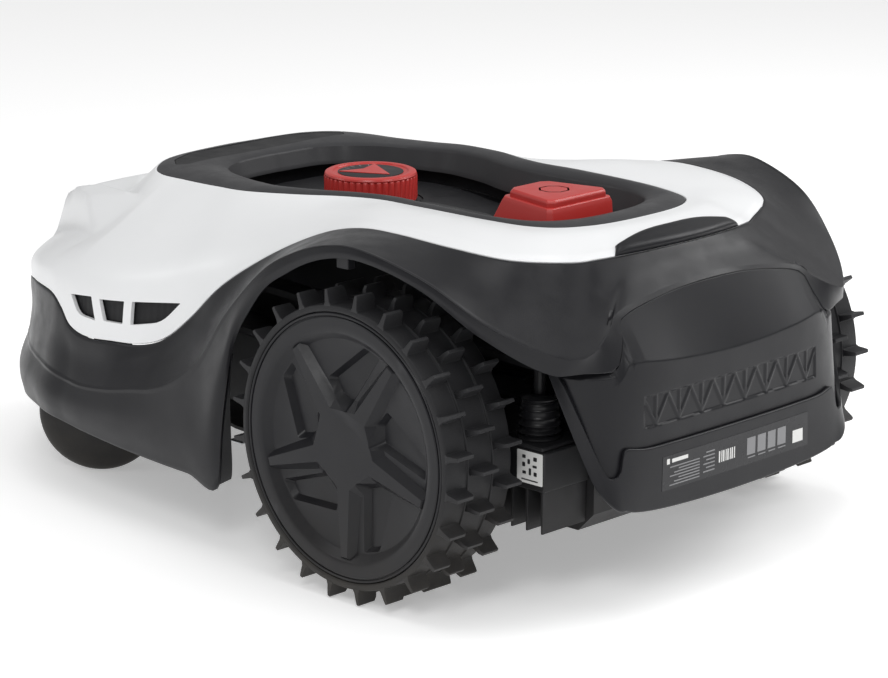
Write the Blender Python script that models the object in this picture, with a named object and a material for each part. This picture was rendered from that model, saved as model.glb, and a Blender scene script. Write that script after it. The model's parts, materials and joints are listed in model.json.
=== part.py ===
"""Robotic lawn mower, built as separate named pieces.

Metres, +X forward, +Y to the mower's left, +Z up, wheels standing on z = 0.
The body skin is one loft through named edge curves.  Each curve runs from the nose (station 0)
to the middle of the tail (station 23) on the left side and is mirrored to the right.
"""
import math

import bmesh
import bpy
import numpy as np
from mathutils import Matrix, Vector

# ---------------------------------------------------------------- driving dimensions
GAP = 0.0004            # clearance between touching pieces
SEAM_GAP = 0.0006       # visible joint line between body panels
SKIN = 0.003            # wall of the moulded covers
LAST = 23.0             # station in the middle of the tail

WHEEL_X = -0.169
WHEEL_R = 0.109         # over the lugs
CARCASS_R = 0.099
WHEEL_OUT = 0.2195      # outer face of the wheel
TYRE_W = 0.0625
RIM_R = 0.093
LUGS = 24

CASTER = (0.1820, 0.1150)
CASTER_R = 0.047
CASTER_TRAIL = 0.016
CASTER_TURN = math.radians(44.0)

DISC = (0.068, 0.0)
DISC_R = 0.088
BLADE_PIN_R = 0.076
DISC_Z = 0.040

KNOB = (0.0246, 0.0)
KNOB_R = 0.035
KNOB_TOP = 0.2395
KEY_X = (-0.040, -0.066)
STOP_X = -0.155          # stem of the stop switch
STOP_REAR = -0.187
STOP_TOP = 0.2525
POCKET_Z = 0.2368        # bottom of the recess in the deck ring
FLOOR_Z = 0.217         # console floor

TUB_HALF = 0.100
TUB_TOP = 0.125
LID_TOP = 0.130
FLOAT_Z = 0.165
REAR_POST = (-0.2625, 0.125)
FRONT_POST = (0.155, 0.080)

# ---------------------------------------------------------------- edge curves of the body
# (station, x, y, z)
RING = [(0, .178, 0, .239), (2, .172, .070, .2385), (3, .162, .090, .238), (4, .150, .103, .237),
        (5, .138, .1085, .2365), (7, .110, .111, .2367), (9, .070, .114, .238), (11, .025, .115, .2405),
        (12, -.011, .1064, .2427), (13, -.041, .095, .2442), (14, -.0655, .0884, .2451),
        (16, -.110, .087, .2458), (18, -.180, .083, .2455), (19, -.205, .078, .2452),
        (20, -.225, .068, .2455), (21, -.238, .050, .246), (23, -.246, 0, .2465)]
BOWL = [(0, .132, 0, .2375), (2, .127, .045, .2375), (3, .118, .060, .2375), (4, .106, .069, .238),
        (5, .094, .075, .2385), (7, .072, .082, .239), (9, .048, .088, .240), (11, .016, .091, .2415),
        (12, -.015, .086, .2425), (13, -.042, .077, .243), (14, -.067, .0715, .2435),
        (16, -.107, .0705, .2435), (18, -.170, .070, .2435), (19, -.190, .063, .2435),
        (20, -.202, .052, .2435), (21, -.209, .037, .2435), (23, -.2135, 0, .2435)]
SHOULDER = [(0, .318, 0, .186), (1, .307, .055, .1855), (2, .272, .110, .184),
            (3, .232, .145, .181), (4, .195, .166, .177), (5, .175, .173, .175),
            (7, .135, .181, .1745), (8, .105, .183, .1765), (9, .0736, .181, .181),
            (10, .047, .177, .188), (11, .020, .172, .199), (12, -.012, .164, .213),
            (13, -.045, .156, .226), (14, -.077, .150, .236), (16, -.130, .145, .2475),
            (17, -.163, .143, .2485), (18, -.203, .138, .2465), (19, -.238, .121, .2415),
            (20, -.256, .088, .238), (21, -.265, .068, .2385), (23, -.277, 0, .2395)]
SEAM = [(0, .325, 0, .170), (1, .315, .060, .169), (2, .279, .118, .167), (3, .229, .157, .163),
        (4, .187, .176, .154), (5, .170, .182, .141), (6, .156, .1855, .1265),
        (7, .135, .188, .1246), (8, .105, .190, .1274), (9, .0736, .188, .1313),
        (10, .049, .185, .140), (11, .0246, .182, .159), (12, -.004, .1786, .186),
        (13, -.039, .1716, .210), (14, -.0725, .1647, .228), (16, -.130, .158, .245),
        (17, -.163, .157, .2457), (18, -.205, .152, .2427), (19, -.243, .134, .237),
        (20, -.263, .097, .2323), (21, -.2724, .077, .233), (23, -.285, 0, .235)]
CREASE = [(0, .329, 0, .100), (1, .318, .062, .0995), (2, .284, .119, .098),
          (3, .238, .159, .096), (4, .195, .182, .094), (6, .150, .193, .090),
          (7, .130, .196, .090), (8, .100, .199, .094), (9, .070, .201, .1005),
          (10, .045, .203, .106), (11, .018, .205, .117), (12, -.012, .207, .139),
          (13, -.044, .210, .178), (14, -.085, .2125, .2175), (15, -.118, .213, .237),
          (16, -.150, .2128, .248), (17, -.180, .209, .2485), (18, -.228, .199, .2325),
          (19, -.268, .182, .2045), (20, -.300, .155, .1855), (21, -.3145, .128, .1845),
          (21.5, -.306, .108, .199), (22, -.300, .092, .208), (23, -.302, 0, .2195)]
HEM = [(0, .330, 0, .060), (1, .319, .062, .060), (2, .286, .121, .060), (3, .240, .164, .0595),
       (4, .199, .184, .059), (6, .152, .195, .057), (8, .102, .200, .054),
       (9, .070, .202, .0525), (10, .032, .205, .052), (11, .002, .207, .052),
       (12, -.0325, .2095, .052), (12.5, -.037, .210, .085), (13, -.0427, .2105, .1164),
       (13.5, -.055, .212, .160), (14, -.078, .2135, .193), (15, -.112, .2135, .221),
       (16, -.148, .213, .2365), (17, -.182, .209, .2385), (18, -.225, .200, .2245),
       (19, -.262, .184, .1965), (20, -.296, .159, .174), (21, -.312, .134, .1712),
       (21.3, -.3155, .118, .171), (21.6, -.311, .105, .186), (22, -.3045, .0945, .2013),
       (22.4, -.3057, .0560, .2095), (23, -.308, 0, .2135)]

# sensor housing on the nose, side view on the centre line: (row, x, z)
HUMP = [(0.9, .236, .2175), (1.3, .266, .2080), (1.7, .296, .1990), (2.0, .318, .1925),
        (2.15, .3265, .1880), (2.3, .3305, .1800), (2.6, .3310, .1680), (2.85, .3285, .1600)]
HUMP_FLAT = 0.030
HUMP_EDGE = 0.050

# rear cover: (z, half width, rearmost x, front edge of the flank x)
COVER_BODY = [(.077, .128, -.3290, -.3180), (.090, .1315, -.3345, -.3155), (.1085, .134, -.3350, -.3100),
              (.1135, .1335, -.3310, -.3085), (.130, .136, -.3305, -.3030), (.150, .139, -.3290, -.2960),
              (.1660, .140, -.3270, -.2920)]
COVER_CAP = [(.1670, .1070, -.3260, -.3130), (.180, .1000, -.3225, -.3105),
             (.190, .0950, -.3185, -.3075), (.198, .0870, -.3140, -.3045),
             (.2040, .0580, -.3105, -.3035), (.2085, .0340, -.3085, -.3035)]


# ---------------------------------------------------------------- small tools
def clear_scene():
    """Start from an empty scene."""
    for thing in list(bpy.data.objects):
        bpy.data.objects.remove(thing, do_unlink=True)


def linear(channel):
    """One sRGB channel as a linear value."""
    return channel / 12.92 if channel <= 0.04045 else ((channel + 0.055) / 1.055) ** 2.4


def material(name, rgb, roughness, metallic=0.0):
    """A Principled material from an sRGB colour in 0..255."""
    mat = bpy.data.materials.new(name)
    mat.use_nodes = True
    shader = mat.node_tree.nodes["Principled BSDF"]
    colour = [linear(c / 255.0) for c in rgb]
    shader.inputs["Base Color"].default_value = (*colour, 1.0)
    shader.inputs["Roughness"].default_value = roughness
    shader.inputs["Metallic"].default_value = metallic
    mat.diffuse_color = (*colour, 1.0)
    return mat


def empty(name, place):
    """A parent on a joint's axis."""
    holder = bpy.data.objects.new(name, None)
    holder.location = place
    holder.empty_display_size = 0.02
    bpy.context.collection.objects.link(holder)
    return holder


def add(name, bm, rgb, roughness, metallic=0.0, parent=None, smooth=35.0):
    """Turn a bmesh in world places into an object, hung on its parent."""
    bmesh.ops.recalc_face_normals(bm, faces=bm.faces)
    mesh = bpy.data.meshes.new(name)
    bm.to_mesh(mesh)
    bm.free()
    mesh.materials.append(material(name, rgb, roughness, metallic))
    thing = bpy.data.objects.new(name, mesh)
    bpy.context.collection.objects.link(thing)
    if parent is not None:
        mesh.transform(Matrix.Translation(-Vector(parent.location)))
        thing.parent = parent
    mesh.shade_smooth()
    mesh.set_sharp_from_angle(angle=math.radians(smooth))
    return thing


def cut(thing, name, bm, operation="DIFFERENCE"):
    """Take a closed bmesh out of an object, or weld it on."""
    bmesh.ops.recalc_face_normals(bm, faces=bm.faces)
    mesh = bpy.data.meshes.new(name)
    bm.to_mesh(mesh)
    bm.free()
    tool = bpy.data.objects.new(name, mesh)
    tool.hide_render = True
    tool.display_type = "WIRE"
    bpy.context.collection.objects.link(tool)
    if thing.parent is not None:
        mesh.transform(Matrix.Translation(-Vector(thing.parent.location)))
        tool.parent = thing.parent
    step = thing.modifiers.new(name, "BOOLEAN")
    step.operation = operation
    step.object = tool


def box(lo, hi, radius=0.0, steps=1, bm=None):
    """A block between two corners, edges rounded by radius."""
    bm = bm or bmesh.new()
    middle = [(a + b) / 2 for a, b in zip(lo, hi)]
    size = [b - a for a, b in zip(lo, hi)]
    move = Matrix.Translation(middle) @ Matrix.Diagonal((*size, 1.0))
    made = bmesh.ops.create_cube(bm, size=1.0, matrix=move)
    if radius > 0.0:
        edges = list({e for v in made["verts"] for e in v.link_edges})
        bmesh.ops.bevel(bm, geom=edges, offset=radius, segments=steps, profile=0.5, affect="EDGES")
    return bm


def prism(outline, low, high, axis="Z", bm=None):
    """A flat outline pushed from low to high along an axis."""
    bm = bm or bmesh.new()

    def place(p, level):
        a, b = p
        return {"Z": (a, b, level), "Y": (a, level, b), "X": (level, a, b)}[axis]

    bottom = [bm.verts.new(place(p, low)) for p in outline]
    top = [bm.verts.new(place(p, high)) for p in outline]
    bm.faces.new(bottom)
    bm.faces.new(top[::-1])
    for i in range(len(outline)):
        j = (i + 1) % len(outline)
        bm.faces.new((bottom[i], top[i], top[j], bottom[j]))
    return bm


def lathe(profile, centre, axis="Z", turns=32, bm=None):
    """A closed (radius, height) profile turned round an axis through centre."""
    bm = bm or bmesh.new()
    rings = []
    for k in range(turns):
        a = 2 * math.pi * k / turns
        ring = []
        for r, h in profile:
            u, v = r * math.cos(a), r * math.sin(a)
            offset = {"Z": (u, v, h), "Y": (v, h, u), "X": (h, u, v)}[axis]
            ring.append(tuple(c + o for c, o in zip(centre, offset)))
        rings.append(ring)
    count = len(profile)
    poles = {}
    verts = []
    for ring in rings:
        row = []
        for i, (r, _) in enumerate(profile):
            if r < 1e-9:
                if i not in poles:
                    poles[i] = bm.verts.new(ring[i])
                row.append(poles[i])
            else:
                row.append(bm.verts.new(ring[i]))
        verts.append(row)
    for k in range(turns):
        here, there = verts[k], verts[(k + 1) % turns]
        for i in range(count):
            j = (i + 1) % count
            loop = []
            for v in (here[i], here[j], there[j], there[i]):
                if v not in loop:
                    loop.append(v)
            if len(loop) > 2:
                bm.faces.new(loop)
    return bm


def rod(radius, low, high, centre, axis="Z", turns=20, bm=None):
    """A plain round bar with small chamfers."""
    c = min(0.0006, radius * 0.3)
    profile = [(0, low), (radius - c, low), (radius, low + c), (radius, high - c),
               (radius - c, high), (0, high)]
    return lathe(profile, centre, axis, turns, bm)


def skin(outer, inner, closed=True, bm=None):
    """A closed wall between two grids of points, rows by columns."""
    bm = bm or bmesh.new()
    a = [[bm.verts.new(p) for p in row] for row in outer]
    b = [[bm.verts.new(p) for p in row] for row in inner]
    rows, cols = len(a), len(a[0])
    last = cols if closed else cols - 1
    for i in range(rows - 1):
        for k in range(last):
            m = (k + 1) % cols
            bm.faces.new((a[i][k], a[i][m], a[i + 1][m], a[i + 1][k]))
            bm.faces.new((b[i][k], b[i + 1][k], b[i + 1][m], b[i][m]))
    for k in range(last):
        m = (k + 1) % cols
        bm.faces.new((a[0][k], b[0][k], b[0][m], a[0][m]))
        bm.faces.new((a[-1][k], a[-1][m], b[-1][m], b[-1][k]))
    if not closed:
        for i in range(rows - 1):
            bm.faces.new((a[i][0], a[i + 1][0], b[i + 1][0], b[i][0]))
            bm.faces.new((a[i][-1], b[i][-1], b[i + 1][-1], a[i + 1][-1]))
    return bm


# ---------------------------------------------------------------- the body loft
def curve(keys, stations):
    """Smooth curve through (station, x, y, z) keys, mirrored past the nose and the tail."""
    left = [k for k in keys if k[0] > 0]
    right = [k for k in keys if k[0] < LAST]
    full = [(-s, x, -y, z) for s, x, y, z in reversed(left)] + list(keys)
    full += [(2 * LAST - s, x, -y, z) for s, x, y, z in reversed(right)]
    table = np.array(full, float)
    s, p = table[:, 0], table[:, 1:]
    step = np.diff(s)[:, None]
    slope = np.diff(p, axis=0) / step
    tangent = np.empty_like(p)
    tangent[1:-1] = (slope[1:] * step[:-1] + slope[:-1] * step[1:]) / (step[1:] + step[:-1])
    tangent[0], tangent[-1] = slope[0], slope[-1]
    t = np.asarray(stations, float)
    i = np.clip(np.searchsorted(s, t, side="right") - 1, 0, len(s) - 2)
    h = step[i]
    u = ((t - s[i]) / h[:, 0])[:, None]
    a = (1 + 2 * u) * (1 - u) ** 2
    b = u * (1 - u) ** 2
    c = u * u * (3 - 2 * u)
    d = u * u * (u - 1)
    return a * p[i] + b * h * tangent[i] + c * p[i + 1] + d * h * tangent[i + 1]


def body_rows(stations):
    """The eight guiding rows of the body, from the deck opening down to the hem."""
    ring, shoulder = curve(RING, stations), curve(SHOULDER, stations)
    seam, crease, hem = curve(SEAM, stations), curve(CREASE, stations), curve(HEM, stations)
    crown = (ring + shoulder) / 2 + np.array([0, 0, 0.003])
    waist = (seam + crease) / 2
    waist[:, :2] *= 0.994
    bulge = crease * 0.45 + hem * 0.55
    drop = np.clip((crease[:, 2] - hem[:, 2]) / 0.045, 0.0, 1.0)[:, None]
    bulge[:, :2] *= 1.0 + 0.022 * drop
    return np.array([ring, crown, shoulder, seam, waist, crease, bulge, hem])


def blend_rows(rows, level):
    """A point row at a fractional level, with a crease at row 5."""
    top, bottom = (0, 5) if level <= 5 else (5, 7)
    i = min(int(level), bottom - 1)
    i = max(i, top)
    u = level - i
    p1, p2 = rows[i], rows[i + 1]
    p0 = rows[i - 1] if i > top else 2 * p1 - p2
    p3 = rows[i + 2] if i + 2 <= bottom else 2 * p2 - p1
    return 0.5 * (2 * p1 + (p2 - p0) * u + (2 * p0 - 5 * p1 + 4 * p2 - p3) * u ** 2
                  + (3 * p1 - p0 - 3 * p2 + p3) * u ** 3)


def body_grid(levels, stations):
    """Points of the body skin and their outward normals."""
    rows = body_rows(stations)
    fine = 0.01
    points = np.array([blend_rows(rows, v) for v in levels])
    below = np.array([blend_rows(rows, min(v + fine, 7)) for v in levels])
    above = np.array([blend_rows(rows, max(v - fine, 0)) for v in levels])
    near = body_rows(np.asarray(stations) + fine)
    far = body_rows(np.asarray(stations) - fine)
    along = np.array([blend_rows(near, v) - blend_rows(far, v) for v in levels])
    normal = np.cross(below - above, along)
    normal /= np.linalg.norm(normal, axis=2, keepdims=True)
    outward = points - np.array([0.0, 0.0, 0.10])
    flip = np.sign(np.sum(normal * outward, axis=2, keepdims=True))
    return points, normal * flip


def around():
    """Stations once round the body, closer together where the hem turns corners."""
    extra = [0.5, 1.5, 2.5, 3.5, 12.5, 13.5, 18.5, 19.5, 20.5, 21.3, 21.6, 22.4]
    left = list(range(int(LAST) + 1)) + extra
    return np.array(sorted({*left, *(2 * LAST - s for s in left if 0 < s < LAST)}))


def shift_loop(loop, distance):
    """A closed loop moved inwards in plan."""
    tangent = np.roll(loop, -1, axis=0) - np.roll(loop, 1, axis=0)
    side = np.stack([-tangent[:, 1], tangent[:, 0], np.zeros(len(loop))], axis=1)
    side /= np.linalg.norm(side, axis=1, keepdims=True)
    if np.sum(side * (loop.mean(axis=0) - loop)) < 0:
        side = -side
    return loop + side * distance


WHITE = (236, 237, 238)
CHARCOAL = (58, 59, 61)
DARK = (40, 41, 43)
TYRE_GREY = (48, 49, 51)
RED = (196, 62, 56)
STEEL = (176, 178, 180)


# ---------------------------------------------------------------- covers on the floating shell
def top_shell(parent):
    """White upper shell with three vent windows on each flank."""
    levels = [0.0, 0.7, 1.4, 2.0, 2.5, 3.0]
    points, normals = body_grid(levels, around())
    inner = points - normals * SKIN
    inner[0] = points[0] - np.array([0, 0, SKIN])
    shell = add("top_shell", skin(points, inner), WHITE, 0.35, parent=parent)
    windows = [[(.156, .154), (.129, .157), (.1235, .140), (.144, .1405)],
               [(.119, .157), (.091, .160), (.092, .143), (.113, .142)],
               [(.083, .161), (.037, .167), (.0535, .152), (.068, .1456), (.084, .144)]]
    bm = bmesh.new()
    for side in (-1, 1):
        for outline in windows:
            prism(outline, side * 0.150, side * 0.215, "Y", bm)
    cut(shell, "vent_window_cutter", bm)


def skirt(parent):
    """Dark lower skirt with the wheel arches in its hem."""
    levels = [3.0, 3.6, 4.3, 5.0, 5.5, 6.0, 7.0]
    points, normals = body_grid(levels, around())
    step = points[1] - points[0]
    points[0] += step * (SEAM_GAP / np.linalg.norm(step, axis=1, keepdims=True))
    add("lower_skirt", skin(points, points - normals * SKIN), CHARCOAL, 0.45, parent=parent)


def deck_ring(parent):
    """Grey frame round the console well, with its sloping inner wall."""
    stations = np.arange(0.0, 2 * LAST)
    edge = shift_loop(curve(RING, stations), SEAM_GAP)
    rim = curve(BOWL, stations)
    middle = (edge + rim) / 2 + np.array([0, 0, 0.0012])
    foot = shift_loop(rim, 0.005)
    foot[:, 2] = FLOOR_Z + 0.004
    outer = np.array([edge, middle, rim, foot])
    under = np.array([edge, middle, shift_loop(rim, -0.003), shift_loop(foot, -0.003)])
    under[:3, :, 2] -= 0.003
    ring = add("deck_ring", skin(outer, under), (78, 79, 81), 0.42, parent=parent)
    pocket = [(.170, -.055), (.170, .055), (.158, .078), (.144, .088), (.138, .080), (.142, .050),
              (.142, -.050), (.138, -.080), (.144, -.088), (.158, -.078)]
    cut(ring, "inlay_pocket_cutter", prism(pocket, POCKET_Z, 0.250))
    inner = [(x * 0.994 + 0.001, y * 0.992) for x, y in pocket]
    add("deck_ring_inlay", prism(inner, POCKET_Z + GAP, POCKET_Z + 0.0024), DARK, 0.5, parent=parent)


def vent_grilles(parent):
    """Dark mesh panel behind the vent windows of each flank."""
    for name, side in (("vent_grille_left", 1), ("vent_grille_right", -1)):
        stations = np.arange(5.0, 10.5)
        stations = stations if side > 0 else 2 * LAST - stations
        points, normals = body_grid([2.2, 2.5, 2.8], stations)
        face = points - normals * (SKIN + 0.0024)
        back = points - normals * (SKIN + 0.0044)
        add(name, skin(face, back, closed=False), DARK, 0.6, parent=parent)


def sensor_housing(parent):
    """Raised housing for the forward camera, and its lens."""
    levels = [0.95, 1.3, 1.7, 2.0, 2.15, 2.3, 2.6, 2.85]
    stations = np.linspace(-0.85, 0.85, 11)
    base, normals = body_grid(levels, stations)
    keys = np.array(HUMP)
    x = np.interp(levels, keys[:, 0], keys[:, 1])[:, None]
    z = np.interp(levels, keys[:, 0], keys[:, 2])[:, None]
    fade = np.clip((HUMP_EDGE - np.abs(base[:, :, 1])) / (HUMP_EDGE - HUMP_FLAT), 0.0, 1.0)
    fade = fade * fade * (3 - 2 * fade)
    outer = base + normals * 0.0025
    outer[:, :, 0] = np.maximum(outer[:, :, 0], base[:, :, 0] * (1 - fade) + x * fade)
    outer[:, :, 2] = np.maximum(outer[:, :, 2], base[:, :, 2] * (1 - fade) + z * fade)
    outer[-1] = base[-1] + normals[-1] * 0.0030
    add("camera_housing", skin(outer, base + normals * 0.0007, closed=False), WHITE, 0.35, parent=parent)
    place = (0.0, 0.0, 0.1745)
    add("camera_lens", rod(0.0085, 0.3318, 0.3342, place, "X", 16), (14, 15, 18), 0.08, parent=parent)


def bay(z, half, rear, front, count, power):
    """One level of the rear cover: a rounded U seen from above."""
    points = []
    for k in range(count):
        a = math.pi * k / (count - 1)
        c, s = math.cos(a), math.sin(a)
        y = half * math.copysign(abs(c) ** (2 / power), c)
        x = front + (rear - front) * s ** (2 / power)
        points.append((x, y, z))
    return points


def rear_cover(parent):
    """Dark cover over the tail: lower lip, upright face and domed cap in one wall."""
    rows = [(*level, 5.0) for level in COVER_BODY] + [(*level, 3.4) for level in COVER_CAP]
    outer = np.array([bay(z, w, rear, front, 19, power) for z, w, rear, front, power in rows])
    inner = np.array([bay(z, w - SKIN, rear + SKIN, front, 19, power)
                      for z, w, rear, front, power in rows])
    add("rear_cover", skin(outer, inner, closed=False), CHARCOAL, 0.4, parent=parent)


def rear_grip(parent):
    """Rounded pad over the rear edge of the white shell."""
    levels = [2.6, 2.85, 3.1, 3.35, 3.6]
    stations = np.linspace(21.35, 2 * LAST - 21.35, 13)
    base, normals = body_grid(levels, stations)
    across = np.abs(stations - LAST) / (LAST - 21.35)
    bulge = np.sqrt(np.clip(1 - across ** 4, 0, 1)) * 0.0042
    length = np.array([0.0, 0.8, 1.0, 0.8, 0.0])
    lift = 0.0016 + length[:, None] * bulge[None, :]
    pad = skin(base + normals * lift[:, :, None], base + normals * 0.0007, closed=False)
    add("rear_grip", pad, CHARCOAL, 0.42, parent=parent)


# ---------------------------------------------------------------- floating frame
def float_frame(parent):
    """Flat frame that carries the shell, with four posts down into the rubber boots."""
    outline = [(-.272, -.134), (.170, -.098), (.170, .098), (-.272, .134)]
    window = [(-.252, -.116), (.145, -.074), (.145, .074), (-.252, .116)]
    levels = (FLOAT_Z, FLOAT_Z + 0.005)
    outer = np.array([[(x, y, z) for x, y in outline] for z in levels])
    inner = np.array([[(x, y, z) for x, y in window] for z in levels])
    frame = add("float_frame", skin(outer, inner), DARK, 0.5, parent=parent)
    for k, (x, y, low) in enumerate(float_posts(), 1):
        cut(frame, f"float_post_{k}", rod(0.0040, low, FLOAT_Z + 0.002, (x, y, 0), turns=12), "UNION")


def float_posts():
    """Places and lower ends of the four posts."""
    places = []
    for side in (-1, 1):
        places.append((REAR_POST[0], side * REAR_POST[1], 0.122))
        places.append((FRONT_POST[0], side * FRONT_POST[1], 0.134))
    return places


# ---------------------------------------------------------------- chassis
def chassis(parent):
    """Tub, lid, console housing and everything bolted to them."""
    outline = [(-.290, TUB_TOP), (-.290, .062), (-.276, .048), (-.075, .048), (-.052, .072),
               (.110, .072), (.114, .107), (.250, .107), (.250, TUB_TOP)]
    tub = add("chassis_tub", prism(outline, -TUB_HALF, TUB_HALF, "Y"), DARK, 0.55, parent=parent)
    inside = [(-.2865, TUB_TOP + 0.01), (-.2865, .0635), (-.2745, .0515), (-.0765, .0515),
              (-.0535, .0755), (.1070, .0755), (.1110, .1105), (.2465, .1105),
              (.2465, TUB_TOP + 0.01)]
    cut(tub, "tub_hollow_cutter", prism(inside, -TUB_HALF + 0.0035, TUB_HALF - 0.0035, "Y"))
    cut(tub, "blade_motor_cutter", rod(0.039, 0.060, 0.080, (*DISC, 0), turns=32))

    ear, front = CASTER[1] + 0.020, CASTER[0] + 0.022
    rear = CASTER[0] - 0.022
    right = [(-.290, -TUB_HALF), (.140, -TUB_HALF), (rear, -ear), (front, -ear), (.240, -TUB_HALF),
             (.250, -TUB_HALF)]
    plate = right + [(x, -y) for x, y in reversed(right)]
    lid = add("chassis_lid", prism(plate, TUB_TOP + GAP, LID_TOP), DARK, 0.5, parent=parent)
    cut(lid, "lid_window_cutter", box((-.190, -.062, TUB_TOP - 0.01), (.108, .062, TUB_TOP + 0.02)))
    for word, side in (("left", 1), ("right", -1)):
        pivot = (CASTER[0], side * CASTER[1], 0)
        cut(lid, f"caster_bore_{word}", rod(0.0067, 0.10, 0.15, pivot, turns=20))
    console_housing(parent)


def console_outline(inset):
    """Plan of the console floor, inset from the bowl rim."""
    return shift_loop(curve(BOWL, np.linspace(0, 2 * LAST, 32, endpoint=False)), inset)


def console_housing(parent):
    """Upright housing under the console floor, open below."""
    outline = console_outline(0.0135)
    base = LID_TOP + GAP
    levels = [(base, 0.0), (FLOOR_Z - 0.002, 0.0), (FLOOR_Z, 0.002)]
    bm = bmesh.new()
    walls = []
    for z, inset in levels:
        row = shift_loop(outline, inset) if inset else outline.copy()
        row[:, 2] = z
        walls.append([bm.verts.new(p) for p in row])
    low = shift_loop(outline, 0.003)
    low[:, 2] = base
    high = low.copy()
    high[:, 2] = FLOOR_Z - 0.003
    walls_in = [[bm.verts.new(p) for p in low], [bm.verts.new(p) for p in high]]
    chain = walls_in[::-1] + walls
    count = len(outline)
    for upper, lower in zip(chain[:-1], chain[1:]):
        for k in range(count):
            m = (k + 1) % count
            bm.faces.new((upper[k], upper[m], lower[m], lower[k]))
    bm.faces.new(walls[-1])
    bm.faces.new(walls_in[1])
    house = add("console_housing", bm, (33, 34, 36), 0.5, parent=parent)
    bm = bmesh.new()
    rod(0.0065, FLOOR_Z - 0.02, FLOOR_Z + 0.01, (*KNOB, 0), turns=20, bm=bm)
    rod(0.0055, FLOOR_Z - 0.02, FLOOR_Z + 0.01, (STOP_X, 0, 0), turns=16, bm=bm)
    for x in KEY_X:
        rod(0.0030, FLOOR_Z - 0.02, FLOOR_Z + 0.01, (x, 0, 0), turns=12, bm=bm)
    cut(house, "console_hole_cutter", bm)


def keypad(parent, key_parents):
    """Rounded panel between the knob and the stop switch, with two soft keys."""
    half, end = 0.018, 6
    outline = []
    for k in range(end + 1):
        a = -math.pi / 2 + math.pi * k / end
        outline.append((-0.034 + half * math.cos(a), half * math.sin(a)))
    for k in range(end + 1):
        a = math.pi / 2 + math.pi * k / end
        outline.append((-0.072 + half * math.cos(a), half * math.sin(a)))
    low = FLOOR_Z + GAP
    panel = add("keypad_panel", prism(outline, low, low + 0.0018), (28, 29, 31), 0.4, parent=parent)
    bm = bmesh.new()
    for x in KEY_X:
        rod(0.0086, low - 0.002, low + 0.004, (x, 0, 0), turns=16, bm=bm)
    cut(panel, "key_hole_cutter", bm)
    for name, x, holder in zip(("key_start", "key_home"), KEY_X, key_parents):
        top = low + 0.0030
        profile = [(0, FLOOR_Z - 0.008), (.0024, FLOOR_Z - 0.008), (.0024, low + .0012),
                   (.0080, low + .0012), (.0080, top - .0006), (.0072, top), (0, top - .0004)]
        add(name, lathe(profile, (x, 0, 0), "Z", 16), (62, 63, 66), 0.55, parent=holder)


def running_gear(parent):
    """Drive gearboxes, boots and the blocks that carry the rear boots."""
    for word, side in (("left", 1), ("right", -1)):
        near = side * (TUB_HALF + GAP)
        lo, hi = sorted((near, side * 0.148))
        case = box((-.214, lo, .066), (-.118, hi, .1245), 0.010, 2)
        gearbox = add(f"drive_gearbox_{word}", case, (52, 53, 55), 0.5, parent=parent)
        ends = sorted((side * 0.120, side * 0.160))
        cut(gearbox, f"axle_bore_{word}", rod(0.0072, *ends, (WHEEL_X, 0, WHEEL_R), "Y", 20))
        lo, hi = sorted((near, side * 0.1455))
        add(f"float_block_{word}", prism(comb_outline(), lo, hi, "Y"), DARK, 0.5, parent=parent)
        place = (REAR_POST[0], side * REAR_POST[1], 0)
        add(f"rear_boot_{word}", boot(place, .1170 + GAP, .1475), (24, 24, 25), 0.25, parent=parent)
        place = (FRONT_POST[0], side * FRONT_POST[1], 0)
        add(f"front_boot_{word}", boot(place, LID_TOP + GAP, .1560), (24, 24, 25), 0.25, parent=parent)


def comb_outline():
    """Side view of the rear block with its four downward fins."""
    rear, front, top, low, foot, half = -.286, -.239, .1170, .0860, .0560, 0.001
    outline = [(rear, low), (rear, top - .003), (rear + .003, top), (front - .003, top),
               (front, top - .003), (front, low)]
    for x in (-.242, -.255, -.268, -.281):
        outline += [(x + half, low), (x + half, foot), (x - half, foot), (x - half, low)]
    return outline


def boot(place, low, high):
    """Corrugated rubber boot round a post."""
    folds = 4
    pitch = (high - low) / folds
    profile = [(.0125, low)]
    for k in range(folds):
        profile.append((.0155, low + (k + 0.25) * pitch))
        profile.append((.0138, low + (k + 0.85) * pitch))
    profile += [(.0125, high), (.0110, high), (.0110, low)]
    return lathe(profile, place, "Z", 12)


def inner_works(parent):
    """Battery, circuit board, hatch, charging socket and screws."""
    add("battery_pack", box((-.262, -.085, .0535), (-.100, .085, .1060), 0.004, 1), (46, 70, 110), 0.5,
        parent=parent)
    add("main_board", box((.125, -.080, .1110), (.238, .080, .1140)), (28, 84, 52), 0.4, parent=parent)
    hatch = box((-.255, -.080, .0445), (-.100, .080, .0476), 0.001)
    add("battery_hatch", hatch, DARK, 0.5, parent=parent)
    socket = box((.2504, -.038, .108), (.2540, .038, .123), 0.001)
    add("charging_socket", socket, (150, 128, 80), 0.3, 1.0, parent=parent)
    for word, x in (("rear", -.272), ("front", .236)):
        screw = rod(0.0034, LID_TOP + GAP, LID_TOP + 0.0024, (x, 0, 0), turns=12)
        add(f"lid_screw_{word}", screw, STEEL, 0.35, 1.0, parent=parent)


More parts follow.
